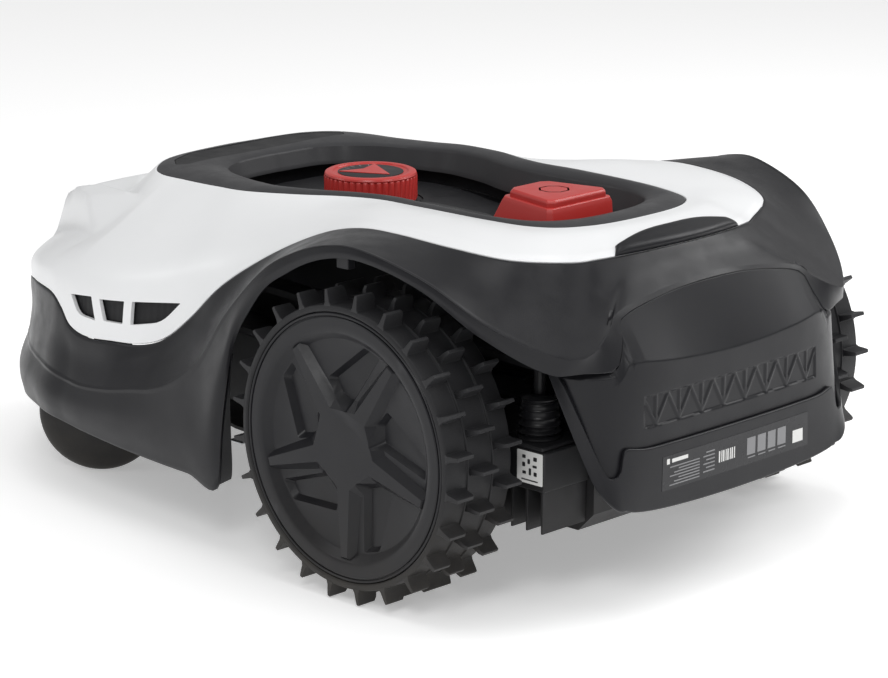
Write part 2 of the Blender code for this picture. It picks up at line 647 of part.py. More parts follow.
# ---------------------------------------------------------------- wheels
def tyre(name, side, parent):
    """Block-tread tyre: three rows of pointed lugs, the middle row staggered by half a pitch."""
    outer = side * WHEEL_OUT
    sections = []
    for low, high, phase in ((0.000, 0.017, 0), (0.022, 0.040, 1), (0.045, TYRE_W, 0)):
        sections += [(low, phase), (high, phase)]
    sections += [(TYRE_W - 0.004, None), (0.004, None)]
    bm = bmesh.new()
    rings = [tyre_ring(bm, outer - side * depth, phase) for depth, phase in sections]
    for a, b in zip(rings, rings[1:] + rings[:1]):
        for k in range(len(a)):
            m = (k + 1) % len(a)
            bm.faces.new((a[k], a[m], b[m], b[k]))
    add(name, bm, TYRE_GREY, 0.75, parent=parent, smooth=25)


def tyre_ring(bm, y, phase):
    """One ring of tyre points, lug tips and roots in turn, or the round bead."""
    ring = []
    for k in range(2 * LUGS):
        a = math.pi * (k + 1) / LUGS
        if phase is None:
            r = RIM_R + GAP
        else:
            r = WHEEL_R if (k + phase) % 2 == 0 else CARCASS_R
        ring.append(wheel_point(bm, r, a, y))
    return ring


def hub_height(radius, angle):
    """Relief of the hub cap: five broad spokes that taper outwards."""
    turn = math.radians(72)
    off = abs((angle + turn / 2) % turn - turn / 2) * radius
    width = 0.021 - 0.10 * max(radius - 0.02, 0.0)
    return -0.0015 if off < max(width, 0.009) or radius < 0.028 else -0.0085


def wheel_point(bm, r, a, y):
    """A point at a radius and angle round the drive axle."""
    return bm.verts.new((WHEEL_X + r * math.cos(a), y, WHEEL_R + r * math.sin(a)))


def hub_cap(name, side, parent):
    """Cap with a five-spoke star between sunken pockets."""
    count = 40
    radii = [0.014, 0.030, 0.036, 0.070, 0.079]
    bm = bmesh.new()
    face = side * WHEEL_OUT
    centre = bm.verts.new((WHEEL_X, face - side * 0.0015, WHEEL_R))
    rings = []
    for r in radii:
        row = []
        for k in range(count):
            a = 2 * math.pi * k / count
            h = hub_height(r, a - math.radians(18)) if r < 0.075 else -0.0015
            row.append(wheel_point(bm, r, a, face + side * h))
        rings.append(row)
    rim = [(0.0905, -0.0035), (0.0905, -0.013), (0.030, -0.013)]
    for r, h in rim:
        row = []
        for k in range(count):
            a = 2 * math.pi * k / count
            row.append(wheel_point(bm, r, a, face + side * h))
        rings.append(row)
    back = bm.verts.new((WHEEL_X, face - side * 0.013, WHEEL_R))
    for k in range(count):
        m = (k + 1) % count
        bm.faces.new((centre, rings[0][k], rings[0][m]))
        bm.faces.new((back, rings[-1][m], rings[-1][k]))
        for a, b in zip(rings[:-1], rings[1:]):
            bm.faces.new((a[k], b[k], b[m], a[m]))
    add(name, bm, (56, 57, 60), 0.42, parent=parent, smooth=25)


def drive_wheel(word, side):
    """Tyre, rim, hub cap, nut and axle of one driven wheel."""
    parent = empty(f"wheel_{word}_axis", (WHEEL_X, side * 0.19, WHEEL_R))
    tyre(f"tyre_{word}", side, parent)
    face = side * WHEEL_OUT
    rim = [(.0100, -.0140), (RIM_R, -.0140), (RIM_R, -.0600), (.0885, -.0600), (.0840, -.0300),
           (.0200, -.0300), (.0200, -.0560), (.0100, -.0560)]
    profile = [(r, side * h) for r, h in rim]
    bm = lathe(profile, (WHEEL_X, face, WHEEL_R), "Y", 28)
    add(f"wheel_rim_{word}", bm, (44, 45, 47), 0.5, parent=parent)
    hub_cap(f"hub_cap_{word}", side, parent)
    ends = sorted((side * 0.1225, face - side * 0.0150))
    axle = rod(0.0068, *ends, (WHEEL_X, 0, WHEEL_R), "Y", 14)
    add(f"drive_axle_{word}", axle, STEEL, 0.3, 1.0, parent=parent)


def caster(word, side):
    """Swivelling fork and its smooth round-shouldered wheel, turned outwards."""
    turn = side * CASTER_TURN
    roll = Vector((math.cos(turn), math.sin(turn), 0))
    pivot = Vector((CASTER[0], side * CASTER[1], 0))
    hub = pivot + roll * CASTER_TRAIL + Vector((0, 0, CASTER_R))
    swivel = empty(f"caster_{word}_swivel", (pivot.x, pivot.y, 0.105))
    spin = empty(f"caster_{word}_spin", hub)
    frame = Matrix.Translation(hub) @ Matrix.Rotation(turn, 4, "Z")

    fork = add(f"caster_fork_{word}", fork_mesh(frame), (50, 51, 53), 0.45, parent=swivel)
    base = CASTER_R + 0.0540
    stem = [(0, base), (.0110, base), (.0110, base + .0042), (.0062, base + .0054),
            (.0062, .1310), (.0052, .1325), (0, .1325)]
    cut(fork, f"caster_stem_{word}", lathe(stem, (pivot.x, pivot.y, 0), "Z", 20), "UNION")

    half = 0.0190
    profile = [(.0032, -half), (.026, -half), (.038, -half + .002), (.0445, -half + .007),
               (CASTER_R, -.006), (CASTER_R, .006), (.0445, half - .007), (.038, half - .002),
               (.026, half), (.0032, half)]
    bm = lathe(profile, (0, 0, 0), "Y", 24)
    bm.transform(frame)
    add(f"caster_wheel_{word}", bm, (38, 39, 41), 0.45, parent=spin)
    bm = rod(0.0028, -.0198, .0198, (0, 0, 0), "Y", 12)
    bm.transform(frame)
    add(f"caster_axle_{word}", bm, STEEL, 0.3, 1.0, parent=swivel)


def fork_mesh(frame):
    """Fork bent from one strip: two legs and a bridge, with the swivel stem on top."""
    high, low, wall, inner = 0.0560, -0.0060, 0.0022, 0.0200
    outer = inner + wall
    section = [(-outer, low), (-inner, low), (-inner, high - wall), (inner, high - wall),
               (inner, low), (outer, low), (outer, high), (-outer, high)]
    bm = bmesh.new()
    front = [bm.verts.new((leg_front(z, high), y, z)) for y, z in section]
    back = [bm.verts.new((leg_back(z, high), y, z)) for y, z in section]
    bm.faces.new(front)
    bm.faces.new(back[::-1])
    for k in range(len(section)):
        m = (k + 1) % len(section)
        bm.faces.new((front[k], back[k], back[m], front[m]))
    bm.transform(frame)
    return bm


def leg_front(z, high):
    """Front edge of the fork leg, leaning back with height."""
    return 0.008 - 0.004 * max(z, 0.0) / high


def leg_back(z, high):
    """Rear edge of the fork leg, reaching back under the stem."""
    return -0.008 - 0.018 * max(z, 0.0) / high


# ---------------------------------------------------------------- cutting unit
def cutting_unit():
    """Blade motor on its sliding carriage, the disc and three free blades."""
    deck = empty("cutting_axis", (*DISC, 0.09))
    spin = empty("disc_axis", (*DISC, DISC_Z))
    profile = [(0, .0640), (.034, .0640), (.034, .0980), (.030, .1020), (0, .1020)]
    add("blade_motor", lathe(profile, (*DISC, 0), "Z", 32), (120, 122, 125), 0.35, 0.8, parent=deck)
    bm = box((KNOB[0] - .012, -.056, .1024), (DISC[0] + .034, .056, .1060), 0.001, 1)
    carriage = add("motor_carriage", bm, DARK, 0.5, parent=deck)
    cut(carriage, "carriage_nut_cutter", rod(0.0060, 0.09, 0.12, (*KNOB, 0), turns=16))
    profile = [(0, DISC_Z), (.018, DISC_Z), (.022, DISC_Z + .003), (DISC_R - .004, DISC_Z + .006),
               (DISC_R, DISC_Z + .004), (DISC_R, DISC_Z + .0065), (.024, DISC_Z + .0095),
               (.020, .0556), (.0045, .0556), (.0045, .0636), (0, .0636)]
    disc = add("blade_disc", lathe(profile, (*DISC, 0), "Z", 32), (60, 61, 63), 0.45, parent=spin)
    turns = [math.radians(90 + 120 * k) for k in range(3)]
    pins = [Vector((DISC[0] + BLADE_PIN_R * math.cos(a), BLADE_PIN_R * math.sin(a), 0)) for a in turns]
    bm = bmesh.new()
    for place in pins:
        rod(0.0026, .030, .060, place, turns=12, bm=bm)
    cut(disc, "blade_pin_cutter", bm)
    for k, (a, place) in enumerate(zip(turns, pins), 1):
        profile = [(0, .0375), (.0046, .0375), (.0046, .0391), (.0023, .0391), (.0023, .0490),
                   (0, .0490)]
        add(f"blade_pin_{k}", lathe(profile, place, "Z", 12), STEEL, 0.3, 1.0, parent=spin)
        holder = empty(f"blade_{k}_axis", (place.x, place.y, 0.0400))
        blade(f"cutting_blade_{k}", place, a, holder)


def blade(name, place, angle, parent):
    """Thin steel blade with a round eye, swung out by the spin."""
    low, high = .0396, .0404
    eye, rim, count = 0.0029, 0.0075, 16
    turn = Matrix.Translation(place) @ Matrix.Rotation(angle, 4, "Z")
    outline = []
    hole = []
    for k in range(count):
        a = 2 * math.pi * (k + 0.5) / count
        c, s = math.cos(a), math.sin(a)
        reach = 0.0260 if c > 0.5 else rim * c
        outline.append((reach, max(-rim, min(rim, 1.25 * rim * s))))
        hole.append((eye * c, eye * s))
    outer = np.array([[(x, y, z) for x, y in outline] for z in (low, high)])
    inner = np.array([[(x, y, z) for x, y in hole] for z in (low, high)])
    bm = skin(outer, inner)
    bm.transform(turn)
    add(name, bm, (190, 192, 195), 0.25, 1.0, parent=parent)


# ---------------------------------------------------------------- controls
def height_knob():
    """Ribbed knob and the threaded spindle it turns."""
    parent = empty("knob_axis", (*KNOB, FLOOR_Z))
    count, low = 60, FLOOR_Z + 0.0008
    bm = bmesh.new()
    shape = [(0.0335, low), (KNOB_R, low + .0015), (KNOB_R, KNOB_TOP - .0030), (.0325, KNOB_TOP),
             (.0270, KNOB_TOP), (.0262, KNOB_TOP - .0010)]
    rings = []
    for r, z in shape:
        row = []
        for k in range(count):
            a = 2 * math.pi * k / count
            rib = 0.0009 if k % 2 and r == KNOB_R else 0.0
            row.append(bm.verts.new((KNOB[0] + (r - rib) * math.cos(a), (r - rib) * math.sin(a), z)))
        rings.append(row)
    for a, b in zip(rings[:-1], rings[1:]):
        for k in range(count):
            m = (k + 1) % count
            bm.faces.new((a[k], a[m], b[m], b[k]))
    bm.faces.new(rings[0][::-1])
    bm.faces.new(rings[-1])
    add("height_knob", bm, RED, 0.4, parent=parent, smooth=30)
    profile = [(0, .0800), (.0050, .0800), (.0050, FLOOR_Z + .0004), (0, FLOOR_Z + .0004)]
    add("height_spindle", lathe(profile, (*KNOB, 0), "Z", 16), STEEL, 0.3, 1.0, parent=parent)
    return parent


def stop_button():
    """Wedge-shaped stop switch: sprung cap on a stem."""
    parent = empty("stop_axis", (STOP_X, 0, FLOOR_Z))
    levels = [(FLOOR_Z + 0.0052, STOP_REAR - .002, -.101, .036, .026),
              (.2420, STOP_REAR - .001, -.120, .0345, .022),
              (.2428, STOP_REAR, -.124, .0320, .0200), (.2515, STOP_REAR, -.1275, .0312, .0190),
              (STOP_TOP, STOP_REAR + .001, -.1290, .0300, .0180)]
    bm = bmesh.new()
    rings = []
    for z, rear, front, wide, narrow in levels:
        chamfer = 0.003
        plan = [(rear, -wide + chamfer), (rear + chamfer, -wide), (front - chamfer, -narrow - .0015),
                (front, -narrow + chamfer), (front, narrow - chamfer), (front - chamfer, narrow + .0015),
                (rear + chamfer, wide), (rear, wide - chamfer)]
        rings.append([bm.verts.new((x, y, z)) for x, y in plan])
    for a, b in zip(rings[:-1], rings[1:]):
        for k in range(8):
            m = (k + 1) % 8
            bm.faces.new((a[k], a[m], b[m], b[k]))
    bm.faces.new(rings[0][::-1])
    bm.faces.new(rings[-1])
    add("stop_button", bm, RED, 0.4, parent=parent, smooth=25)
    top = FLOOR_Z + 0.0052 - GAP
    profile = [(0, FLOOR_Z - .012), (.0046, FLOOR_Z - .012), (.0046, top), (0, top)]
    add("stop_stem", lathe(profile, (STOP_X, 0, 0), "Z", 16), DARK, 0.5, parent=parent)


def main():
    """Build the mower."""
    clear_scene()
    base = empty("chassis_origin", (0, 0, 0))
    floating = empty("float_origin", (0, 0, FLOAT_Z))
    shell = empty("shell_origin", (0, 0, 0.2))
    keys = [empty(f"key_axis_{k}", (x, 0, FLOOR_Z)) for k, x in enumerate(KEY_X, 1)]
    chassis(base)
    keypad(base, keys)
    running_gear(base)
    inner_works(base)
    float_frame(floating)
    top_shell(shell)
    skirt(shell)
    deck_ring(shell)
    vent_grilles(shell)
    sensor_housing(shell)
    rear_cover(shell)
    rear_grip(shell)
    for word, side in (("left", 1), ("right", -1)):
        drive_wheel(word, side)
        caster(word, side)
    cutting_unit()
    height_knob()
    stop_button()


main()
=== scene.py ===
"""Looks of the robotic lawn mower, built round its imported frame.

Metres, +X forward, +Y to the mower's left, +Z up.  Pieces that ride on the shell share one loft
through named edge curves: each runs from the nose (station 0) to the middle of the tail
(station 23) on the left side, and is mirrored to the right.
"""

import json
import math

import bmesh
import bpy
import numpy as np
from mathutils import Matrix, Vector


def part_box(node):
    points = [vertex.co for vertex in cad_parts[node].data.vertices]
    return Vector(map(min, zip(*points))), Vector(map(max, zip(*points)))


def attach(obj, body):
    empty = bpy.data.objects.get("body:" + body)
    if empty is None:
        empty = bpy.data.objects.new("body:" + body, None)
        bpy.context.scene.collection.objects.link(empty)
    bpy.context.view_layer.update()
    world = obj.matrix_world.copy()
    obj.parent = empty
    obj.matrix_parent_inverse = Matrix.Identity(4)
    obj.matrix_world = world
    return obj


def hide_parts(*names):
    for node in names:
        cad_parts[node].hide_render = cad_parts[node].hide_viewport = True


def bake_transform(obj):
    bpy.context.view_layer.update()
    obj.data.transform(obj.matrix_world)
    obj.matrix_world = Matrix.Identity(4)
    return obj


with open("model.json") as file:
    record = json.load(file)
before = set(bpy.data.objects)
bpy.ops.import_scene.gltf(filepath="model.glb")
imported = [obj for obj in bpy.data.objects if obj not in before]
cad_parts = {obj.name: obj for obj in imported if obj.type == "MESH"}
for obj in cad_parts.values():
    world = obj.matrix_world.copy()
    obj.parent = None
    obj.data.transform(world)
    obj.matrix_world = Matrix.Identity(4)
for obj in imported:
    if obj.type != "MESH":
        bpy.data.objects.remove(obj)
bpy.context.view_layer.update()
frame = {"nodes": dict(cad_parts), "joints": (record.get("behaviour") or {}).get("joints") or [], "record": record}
NODES = frame["nodes"]


# ---------------------------------------------------------------- places taken from the frame
SIDES = (("left", 1), ("right", -1))


def centre_of(name):
    """Middle of a CAD node's box."""
    low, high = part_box(name)
    return (low + high) / 2


TYRE_LOW, TYRE_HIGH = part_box("tyre_left")
WHEEL = (TYRE_LOW + TYRE_HIGH) / 2
WHEEL_R = (TYRE_HIGH.z - TYRE_LOW.z) / 2
TYRE_W = TYRE_HIGH.y - TYRE_LOW.y
AXLE = (WHEEL.x, 0, WHEEL.z)
KNOB_LOW, KNOB_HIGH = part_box("height_knob")
KNOB = (KNOB_LOW + KNOB_HIGH) / 2
KNOB_R = (KNOB_HIGH.x - KNOB_LOW.x) / 2
FLOOR_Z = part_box("console_housing")[1].z

LAST = 23.0             # station in the middle of the tail
SKIN = 0.003            # wall of the moulded covers
SEAM_GAP = 0.0006       # open seam between neighbouring covers
KEY_STEM_R = 0.0024     # stems under the two keys
STEM_GAP = 0.0010       # room round each stem and the spindle where they pass the console


# ---------------------------------------------------------------- edge curves of the body
# (station, x, y, z)
RING = [(0, .178, 0, .239), (2, .172, .070, .2385), (3, .162, .090, .238), (4, .150, .103, .237),
        (5, .138, .1085, .2365), (7, .110, .111, .2367), (9, .070, .114, .238), (11, .025, .115, .2405),
        (12, -.011, .1064, .2427), (13, -.041, .095, .2442), (14, -.0655, .0884, .2451),
        (16, -.110, .087, .2458), (18, -.180, .083, .2455), (19, -.205, .078, .2452),
        (20, -.225, .068, .2455), (21, -.238, .050, .246), (23, -.246, 0, .2465)]
BOWL = [(0, .132, 0, .2375), (2, .127, .045, .2375), (3, .118, .060, .2375), (4, .106, .069, .238),
        (5, .094, .075, .2385), (7, .072, .082, .239), (9, .048, .088, .240), (11, .016, .091, .2415),
        (12, -.015, .086, .2425), (13, -.042, .077, .243), (14, -.067, .0715, .2435),
        (16, -.107, .0705, .2435), (18, -.170, .070, .2435), (19, -.190, .063, .2435),
        (20, -.202, .052, .2435), (21, -.209, .037, .2435), (23, -.2135, 0, .2435)]
SHOULDER = [(0, .3245, 0, .164), (1, .3125, .057, .1595), (2, .278, .113, .1590),
            (3, .235, .147, .1665), (4, .196, .166, .171), (5, .175, .173, .173),
            (7, .135, .181, .1745), (8, .105, .183, .1765), (9, .0736, .181, .181),
            (10, .047, .177, .188), (11, .020, .172, .199), (12, -.012, .164, .213),
            (13, -.045, .156, .226), (14, -.077, .150, .236), (16, -.130, .145, .2475),
            (17, -.163, .143, .2485), (18, -.203, .138, .2465), (19, -.238, .121, .2415),
            (20, -.256, .088, .238), (21, -.265, .068, .2385), (23, -.277, 0, .2395)]
SEAM = [(0, .327, 0, .139), (1, .317, .061, .1385), (2, .281, .119, .139), (3, .231, .157, .1475),
        (4, .188, .176, .1485), (5, .170, .182, .141), (6, .156, .1855, .1300),
        (7, .135, .188, .1258), (8, .105, .190, .1283), (9, .0736, .188, .1313),
        (10, .049, .185, .140), (11, .0246, .182, .159), (12, -.004, .1786, .186),
        (13, -.039, .1716, .210), (14, -.0725, .1647, .228), (16, -.130, .158, .245),
        (17, -.163, .157, .2457), (18, -.205, .152, .2427), (19, -.243, .134, .237),
        (20, -.263, .097, .2323), (21, -.2724, .077, .233), (23, -.285, 0, .235)]
CREASE = [(0, .329, 0, .100), (1, .318, .062, .0995), (2, .284, .119, .098),
          (3, .238, .159, .096), (4, .195, .182, .094), (6, .150, .193, .090),
          (7, .130, .196, .090), (8, .100, .199, .094), (9, .070, .201, .1005),
          (10, .045, .203, .106), (11, .018, .205, .117), (12, -.012, .207, .139),
          (13, -.044, .210, .178), (14, -.085, .2125, .2165), (15, -.118, .213, .2348),
          (16, -.150, .2128, .2448), (17, -.180, .209, .2452), (18, -.228, .199, .2305),
          (19, -.268, .182, .2045), (20, -.300, .156, .1860), (21, -.3140, .1290, .1850),
          (21.5, -.3090, .1080, .1960), (22, -.3045, .0950, .2050), (22.5, -.3035, .0500, .2125),
          (23, -.3050, 0, .2165)]
HEM = [(0, .330, 0, .060), (1, .319, .062, .060), (2, .286, .121, .060), (3, .240, .164, .0595),
       (4, .199, .184, .059), (6, .152, .195, .057), (8, .102, .200, .054),
       (9, .070, .202, .0525), (10, .032, .205, .052), (11, .002, .207, .052),
       (12, -.0325, .2095, .052), (12.5, -.037, .210, .085), (13, -.0427, .2105, .1164),
       (13.5, -.055, .212, .160), (14, -.078, .2135, .193), (15, -.112, .2135, .2198),
       (16, -.148, .213, .2350), (17, -.182, .209, .2368), (18, -.225, .200, .2235),
       (19, -.262, .184, .1965), (20, -.296, .159, .174), (21, -.312, .134, .1712),
       (21.3, -.3195, .1130, .171), (21.6, -.3155, .1018, .186), (22, -.3080, .0945, .2013),
       (22.4, -.3070, .0560, .2095), (23, -.308, 0, .2135)]

# how far the crown stands over the straight line from deck opening to shoulder, by station
CROWN_AT = [0, 1, 2, 3, 4, 5, 6, 8]
CROWN_LIFT = [.002, .000, -.005, -.009, -.009, -.004, .001, .003]

# camera housing on the nose, side view on the centre line: (row, x, z)
HUMP = [(0.9, .243, .2085), (1.3, .270, .2010), (1.7, .299, .1925), (2.0, .319, .1868),
        (2.15, .3265, .1840), (2.3, .3310, .1760), (2.6, .3318, .1600), (2.85, .3300, .1480)]
HUMP_FLAT = 0.024       # half width that keeps the full height
HUMP_EDGE = 0.043       # half width where it has run out into the shell

# planes of the brow on a front corner, whose lowest is its surface: a point on the plane, then how
# steeply it falls with x and with y
BROW_PLANES = {"top": (.2135, .1163, .2106, .226, .35), "rear": (.1644, .1214, .2199, .019, .35),
               "inner": (.233, .0983, .2125, .20, -.55), "hollow": (.216, .089, .2090, -.095, -.55),
               "side": (.2102, .12, .2071, .317, 1.213), "front": (.2102, .12, .2071, 1.985, 3.726),
               "nose": (.272, 0, .2050, 3.0, 0)}
BROW_SOFT = 0.0014      # how softly the brow runs into the shell
BROW_LEVEL = 2.3        # from this level of the loft down, the shell keeps its own shape

# dark inlay in the front of the deck frame: (x, y) corners
INLAY = [(.171, -.050), (.171, .050), (.159, .077), (.144, .0885), (.137, .081), (.1415, .050),
         (.1415, -.050), (.137, -.081), (.144, -.0885), (.159, -.077)]

# the three vent windows of a flank: (x, z) corners, and the radius of each corner
VENTS = [([(.156, .154), (.129, .157), (.1235, .140), (.1455, .1405)], (.0008, .0008, .0008, .006)),
         ([(.119, .157), (.091, .160), (.092, .143), (.113, .1418)], (.0008, .0008, .0008, .0008)),
         ([(.083, .161), (.036, .167), (.0535, .150), (.084, .1435)], (.0008, .0012, .010, .0008))]

# plan of the rear cover from its middle (0) to the flank's front edge (1): (share, x, y)
COVER_TOP = [(0, -.3295, 0), (.2, -.3290, .045), (.4, -.3275, .080), (.55, -.3235, .102),
             (.68, -.3165, .120), (.8, -.3075, .1315), (.9, -.2970, .137), (1.0, -.2840, .139)]
COVER_FOOT = [(0, -.3290, 0), (.2, -.3288, .045), (.4, -.3284, .083), (.55, -.3280, .103),
              (.68, -.3275, .1135), (.8, -.3271, .1200), (.9, -.3262, .1250), (1.0, -.3238, .1300)]
COVER_FOOT_Z = 0.080
COVER_TOP_Z = 0.170


# ---------------------------------------------------------------- materials
MATERIALS = {}
GLOSS_SPREAD = 0.06     # how far the roughness wanders each way


def srgb(*rgb):
    """A 0..255 sRGB colour as linear values."""
    shares = [c / 255 for c in rgb]
    return tuple(s / 12.92 if s <= 0.04045 else ((s + 0.055) / 1.055) ** 2.4 for s in shares)


def node(tree, kind, **values):
    """A shader node with its named inputs set."""
    made = tree.nodes.new(kind)
    for key, value in values.items():
        made.inputs[key.replace("_", " ")].default_value = value
    return made


def remap(tree, source, low, high, to_low, to_high):
    """Output of a node that takes the range low..high of a value onto another range."""
    made = node(tree, "ShaderNodeMapRange", From_Min=low, From_Max=high, To_Min=to_low, To_Max=to_high)
    tree.links.new(source, made.inputs["Value"])
    return made.outputs["Result"]


def tinted(tree, share, under, colour):
    """Output of a node that lays a plain colour over another, by a share."""
    made = tree.nodes.new("ShaderNodeMix")
    made.data_type = "RGBA"
    made.inputs["B"].default_value = (*colour, 1.0)
    tree.links.new(share, made.inputs["Factor"])
    tree.links.new(under, made.inputs["A"])
    return made.outputs["Result"]


def finish(name, rgb, rough, grain=900.0, bump=0.06, mottle=0.06, wear=0.25, metallic=0.0, coat=0.0,
           stretch=(1, 1, 1), dust=0.0):
    """A moulded, rubber or metal finish: fine grain, uneven gloss, soft colour drift and worn edges.

    grain is the texture's frequency per metre, wear how much the edges lighten, and dust how much
    pale dust gathers towards the ground.
    """
    mat = bpy.data.materials.new(name)
    mat.use_nodes = True
    tree = mat.node_tree
    link = tree.links.new
    shader = tree.nodes["Principled BSDF"]
    colour = srgb(*rgb)
    mat.diffuse_color = (*colour, 1.0)
    shader.inputs["Metallic"].default_value = metallic
    shader.inputs["Coat Weight"].default_value = coat
    shader.inputs["Coat Roughness"].default_value = 0.12
    pale = max(rgb) > 100
    shader.inputs["Specular IOR Level"].default_value = 0.5 if pale or metallic else 0.26

    place = tree.nodes.new("ShaderNodeTexCoord")
    scale = node(tree, "ShaderNodeMapping", Scale=stretch)
    link(place.outputs["Object"], scale.inputs["Vector"])

    def noise(frequency, detail, roughness):
        """Noise in the part's own space."""
        made = node(tree, "ShaderNodeTexNoise", Scale=frequency, Detail=detail, Roughness=roughness)
        link(scale.outputs["Vector"], made.inputs["Vector"])
        return made.outputs["Fac"]

    fine, broad, blotch = noise(grain, 3.0, 0.55), noise(9.0, 4.0, 0.6), noise(60.0, 3.0, 0.6)
    drift = tree.nodes.new("ShaderNodeVectorMath")
    drift.operation = "SCALE"
    drift.inputs[0].default_value = colour
    link(remap(tree, broad, 0.3, 0.7, 1.0 - mottle, 1.0 + mottle), drift.inputs["Scale"])

    shape = tree.nodes.new("ShaderNodeNewGeometry")
    edge = remap(tree, shape.outputs["Pointiness"], 0.52, 0.62, 0.0, wear)
    lighter = [min(1.0, c * 1.6 + 0.02) for c in colour]
    last = tinted(tree, edge, drift.outputs["Vector"], lighter)
    if dust > 0.0:
        split = tree.nodes.new("ShaderNodeSeparateXYZ")
        link(shape.outputs["Position"], split.inputs["Vector"])
        patch = tree.nodes.new("ShaderNodeMath")
        patch.operation = "MULTIPLY"
        link(remap(tree, split.outputs["Z"], 0.10, 0.0, 0.0, dust), patch.inputs[0])
        link(blotch, patch.inputs[1])
        last = tinted(tree, patch.outputs["Value"], last, srgb(120, 112, 98))
    link(last, shader.inputs["Base Color"])

    gloss = remap(tree, blotch, 0.3, 0.7, max(rough - GLOSS_SPREAD, 0.03), rough + GLOSS_SPREAD)
    link(gloss, shader.inputs["Roughness"])
    relief = node(tree, "ShaderNodeBump", Strength=bump, Distance=0.0004)
    link(fine, relief.inputs["Height"])
    link(relief.outputs["Normal"], shader.inputs["Normal"])
    MATERIALS[name] = mat


finish("white_shell", (238, 239, 240), 0.34, bump=0.03, mottle=0.012, wear=0.1, grain=700, coat=0.15)
finish("charcoal_shell", (28, 28, 31), 0.34, bump=0.16, grain=1500, wear=0.35)
finish("deck_grey", (53, 53, 55), 0.40, bump=0.16, grain=1500, wear=0.3)
finish("black_trim", (28, 28, 30), 0.50, bump=0.14, grain=1200, dust=0.12)
finish("console_black", (25, 25, 28), 0.42, bump=0.14, grain=1500)
finish("keypad_gloss", (24, 24, 27), 0.28, bump=0.02, grain=600, wear=0.3)
finish("key_rubber", (40, 41, 44), 0.50, bump=0.10, grain=1200)
finish("lens_dark", (14, 15, 18), 0.08, bump=0.0, mottle=0.02, wear=0.0, coat=1.0)
finish("tyre_rubber", (32, 32, 34), 0.52, bump=0.35, mottle=0.12, wear=0.5, dust=0.25)
finish("boot_rubber", (22, 22, 24), 0.33, bump=0.08, grain=700, wear=0.3)
finish("wheel_plastic", (29, 29, 32), 0.34, bump=0.12, grain=1500, wear=0.4, dust=0.1)
finish("caster_plastic", (32, 32, 34), 0.42, bump=0.16, dust=0.2)
finish("gear_case", (34, 34, 36), 0.50, bump=0.2, dust=0.1)
finish("plain_steel", (176, 178, 180), 0.32, bump=0.1, grain=700, metallic=1.0, wear=0.0,
       stretch=(1, 1, 0.1))
finish("blade_steel", (188, 190, 193), 0.26, bump=0.1, metallic=1.0, wear=0.0, stretch=(1, 0.1, 1))
finish("motor_alloy", (150, 152, 155), 0.38, bump=0.1, grain=600, metallic=1.0, wear=0.0,
       stretch=(0.1, 0.1, 1))
finish("battery_wrap", (46, 70, 110), 0.36, bump=0.05, grain=400)
finish("circuit_board", (28, 84, 52), 0.36, bump=0.1, grain=500)
finish("contact_brass", (176, 148, 96), 0.26, bump=0.05, metallic=1.0, wear=0.0)
finish("signal_red", (188, 50, 46), 0.36, bump=0.05, mottle=0.03, coat=0.1)
finish("plate_dark", (44, 44, 46), 0.28, bump=0.02, grain=600, wear=0.2)
finish("plate_grey", (128, 128, 130), 0.40, bump=0.02, grain=600, wear=0.0)
finish("plate_pale", (222, 222, 220), 0.40, bump=0.02, grain=600, wear=0.0, mottle=0.02)
finish("ink_dark", (38, 38, 40), 0.45, bump=0.02, grain=600, wear=0.0)


# ---------------------------------------------------------------- mesh helpers
def shade(mesh, angle):
    """Smooth shading, with a sharp edge where faces meet at more than an angle in degrees."""
    mesh.shade_smooth()
    mesh.set_sharp_from_angle(angle=math.radians(angle))


def solid(name, bm):
    """An object made from a bmesh, its faces turned outwards."""
    bmesh.ops.recalc_face_normals(bm, faces=bm.faces)
    mesh = bpy.data.meshes.new(name)
    bm.to_mesh(mesh)
    bm.free()
    thing = bpy.data.objects.new(name, mesh)
    bpy.context.collection.objects.link(thing)
    return thing


def piece(name, bm, slot, body, replaces=(), smooth=35.0, mat=None, bevel=0.0, segments=2):
    """Turn a bmesh in world places into a finished piece that rides on a body."""
    thing = solid(name, bm)
    thing.data.materials.append(MATERIALS[mat or slot])
    shade(thing.data, smooth)
    if bevel > 0.0:
        soften(thing, bevel, segments)
    if body:
        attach(thing, body)
    if replaces:
        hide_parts(*replaces)
    return thing


def soften(thing, width, segments=2, angle=30.0):
    """Rounded edges."""
    step = thing.modifiers.new("edge_round", "BEVEL")
    step.width = width
    step.segments = segments
    step.limit_method = "ANGLE"
    step.angle_limit = math.radians(angle)
    step.use_clamp_overlap = True
    step.harden_normals = True


def carve(thing, name, bm, operation="DIFFERENCE", smooth=None):
    """Apply a Boolean with a closed bmesh, and clear the cutter away.  smooth shades the result."""
    tool = solid(name, bm)
    step = thing.modifiers.new(name, "BOOLEAN")
    step.operation = operation
    step.object = tool
    step.solver = "EXACT"
    bpy.context.view_layer.update()
    graph = bpy.context.evaluated_depsgraph_get()
    new = bpy.data.meshes.new_from_object(thing.evaluated_get(graph))
    thing.modifiers.clear()
    old = thing.data
    thing.data = new
    bpy.data.meshes.remove(old)
    bpy.data.objects.remove(tool)
    if smooth:
        shade(new, smooth)


def block(lo, hi, bm=None):
    """A plain block between two corners, for pieces whose edges are rounded later."""
    bm = bm or bmesh.new()
    middle = [(a + b) / 2 for a, b in zip(lo, hi)]
    size = [b - a for a, b in zip(lo, hi)]
    bmesh.ops.create_cube(bm, size=1.0, matrix=Matrix.Translation(middle) @ Matrix.Diagonal((*size, 1.0)))
    return bm


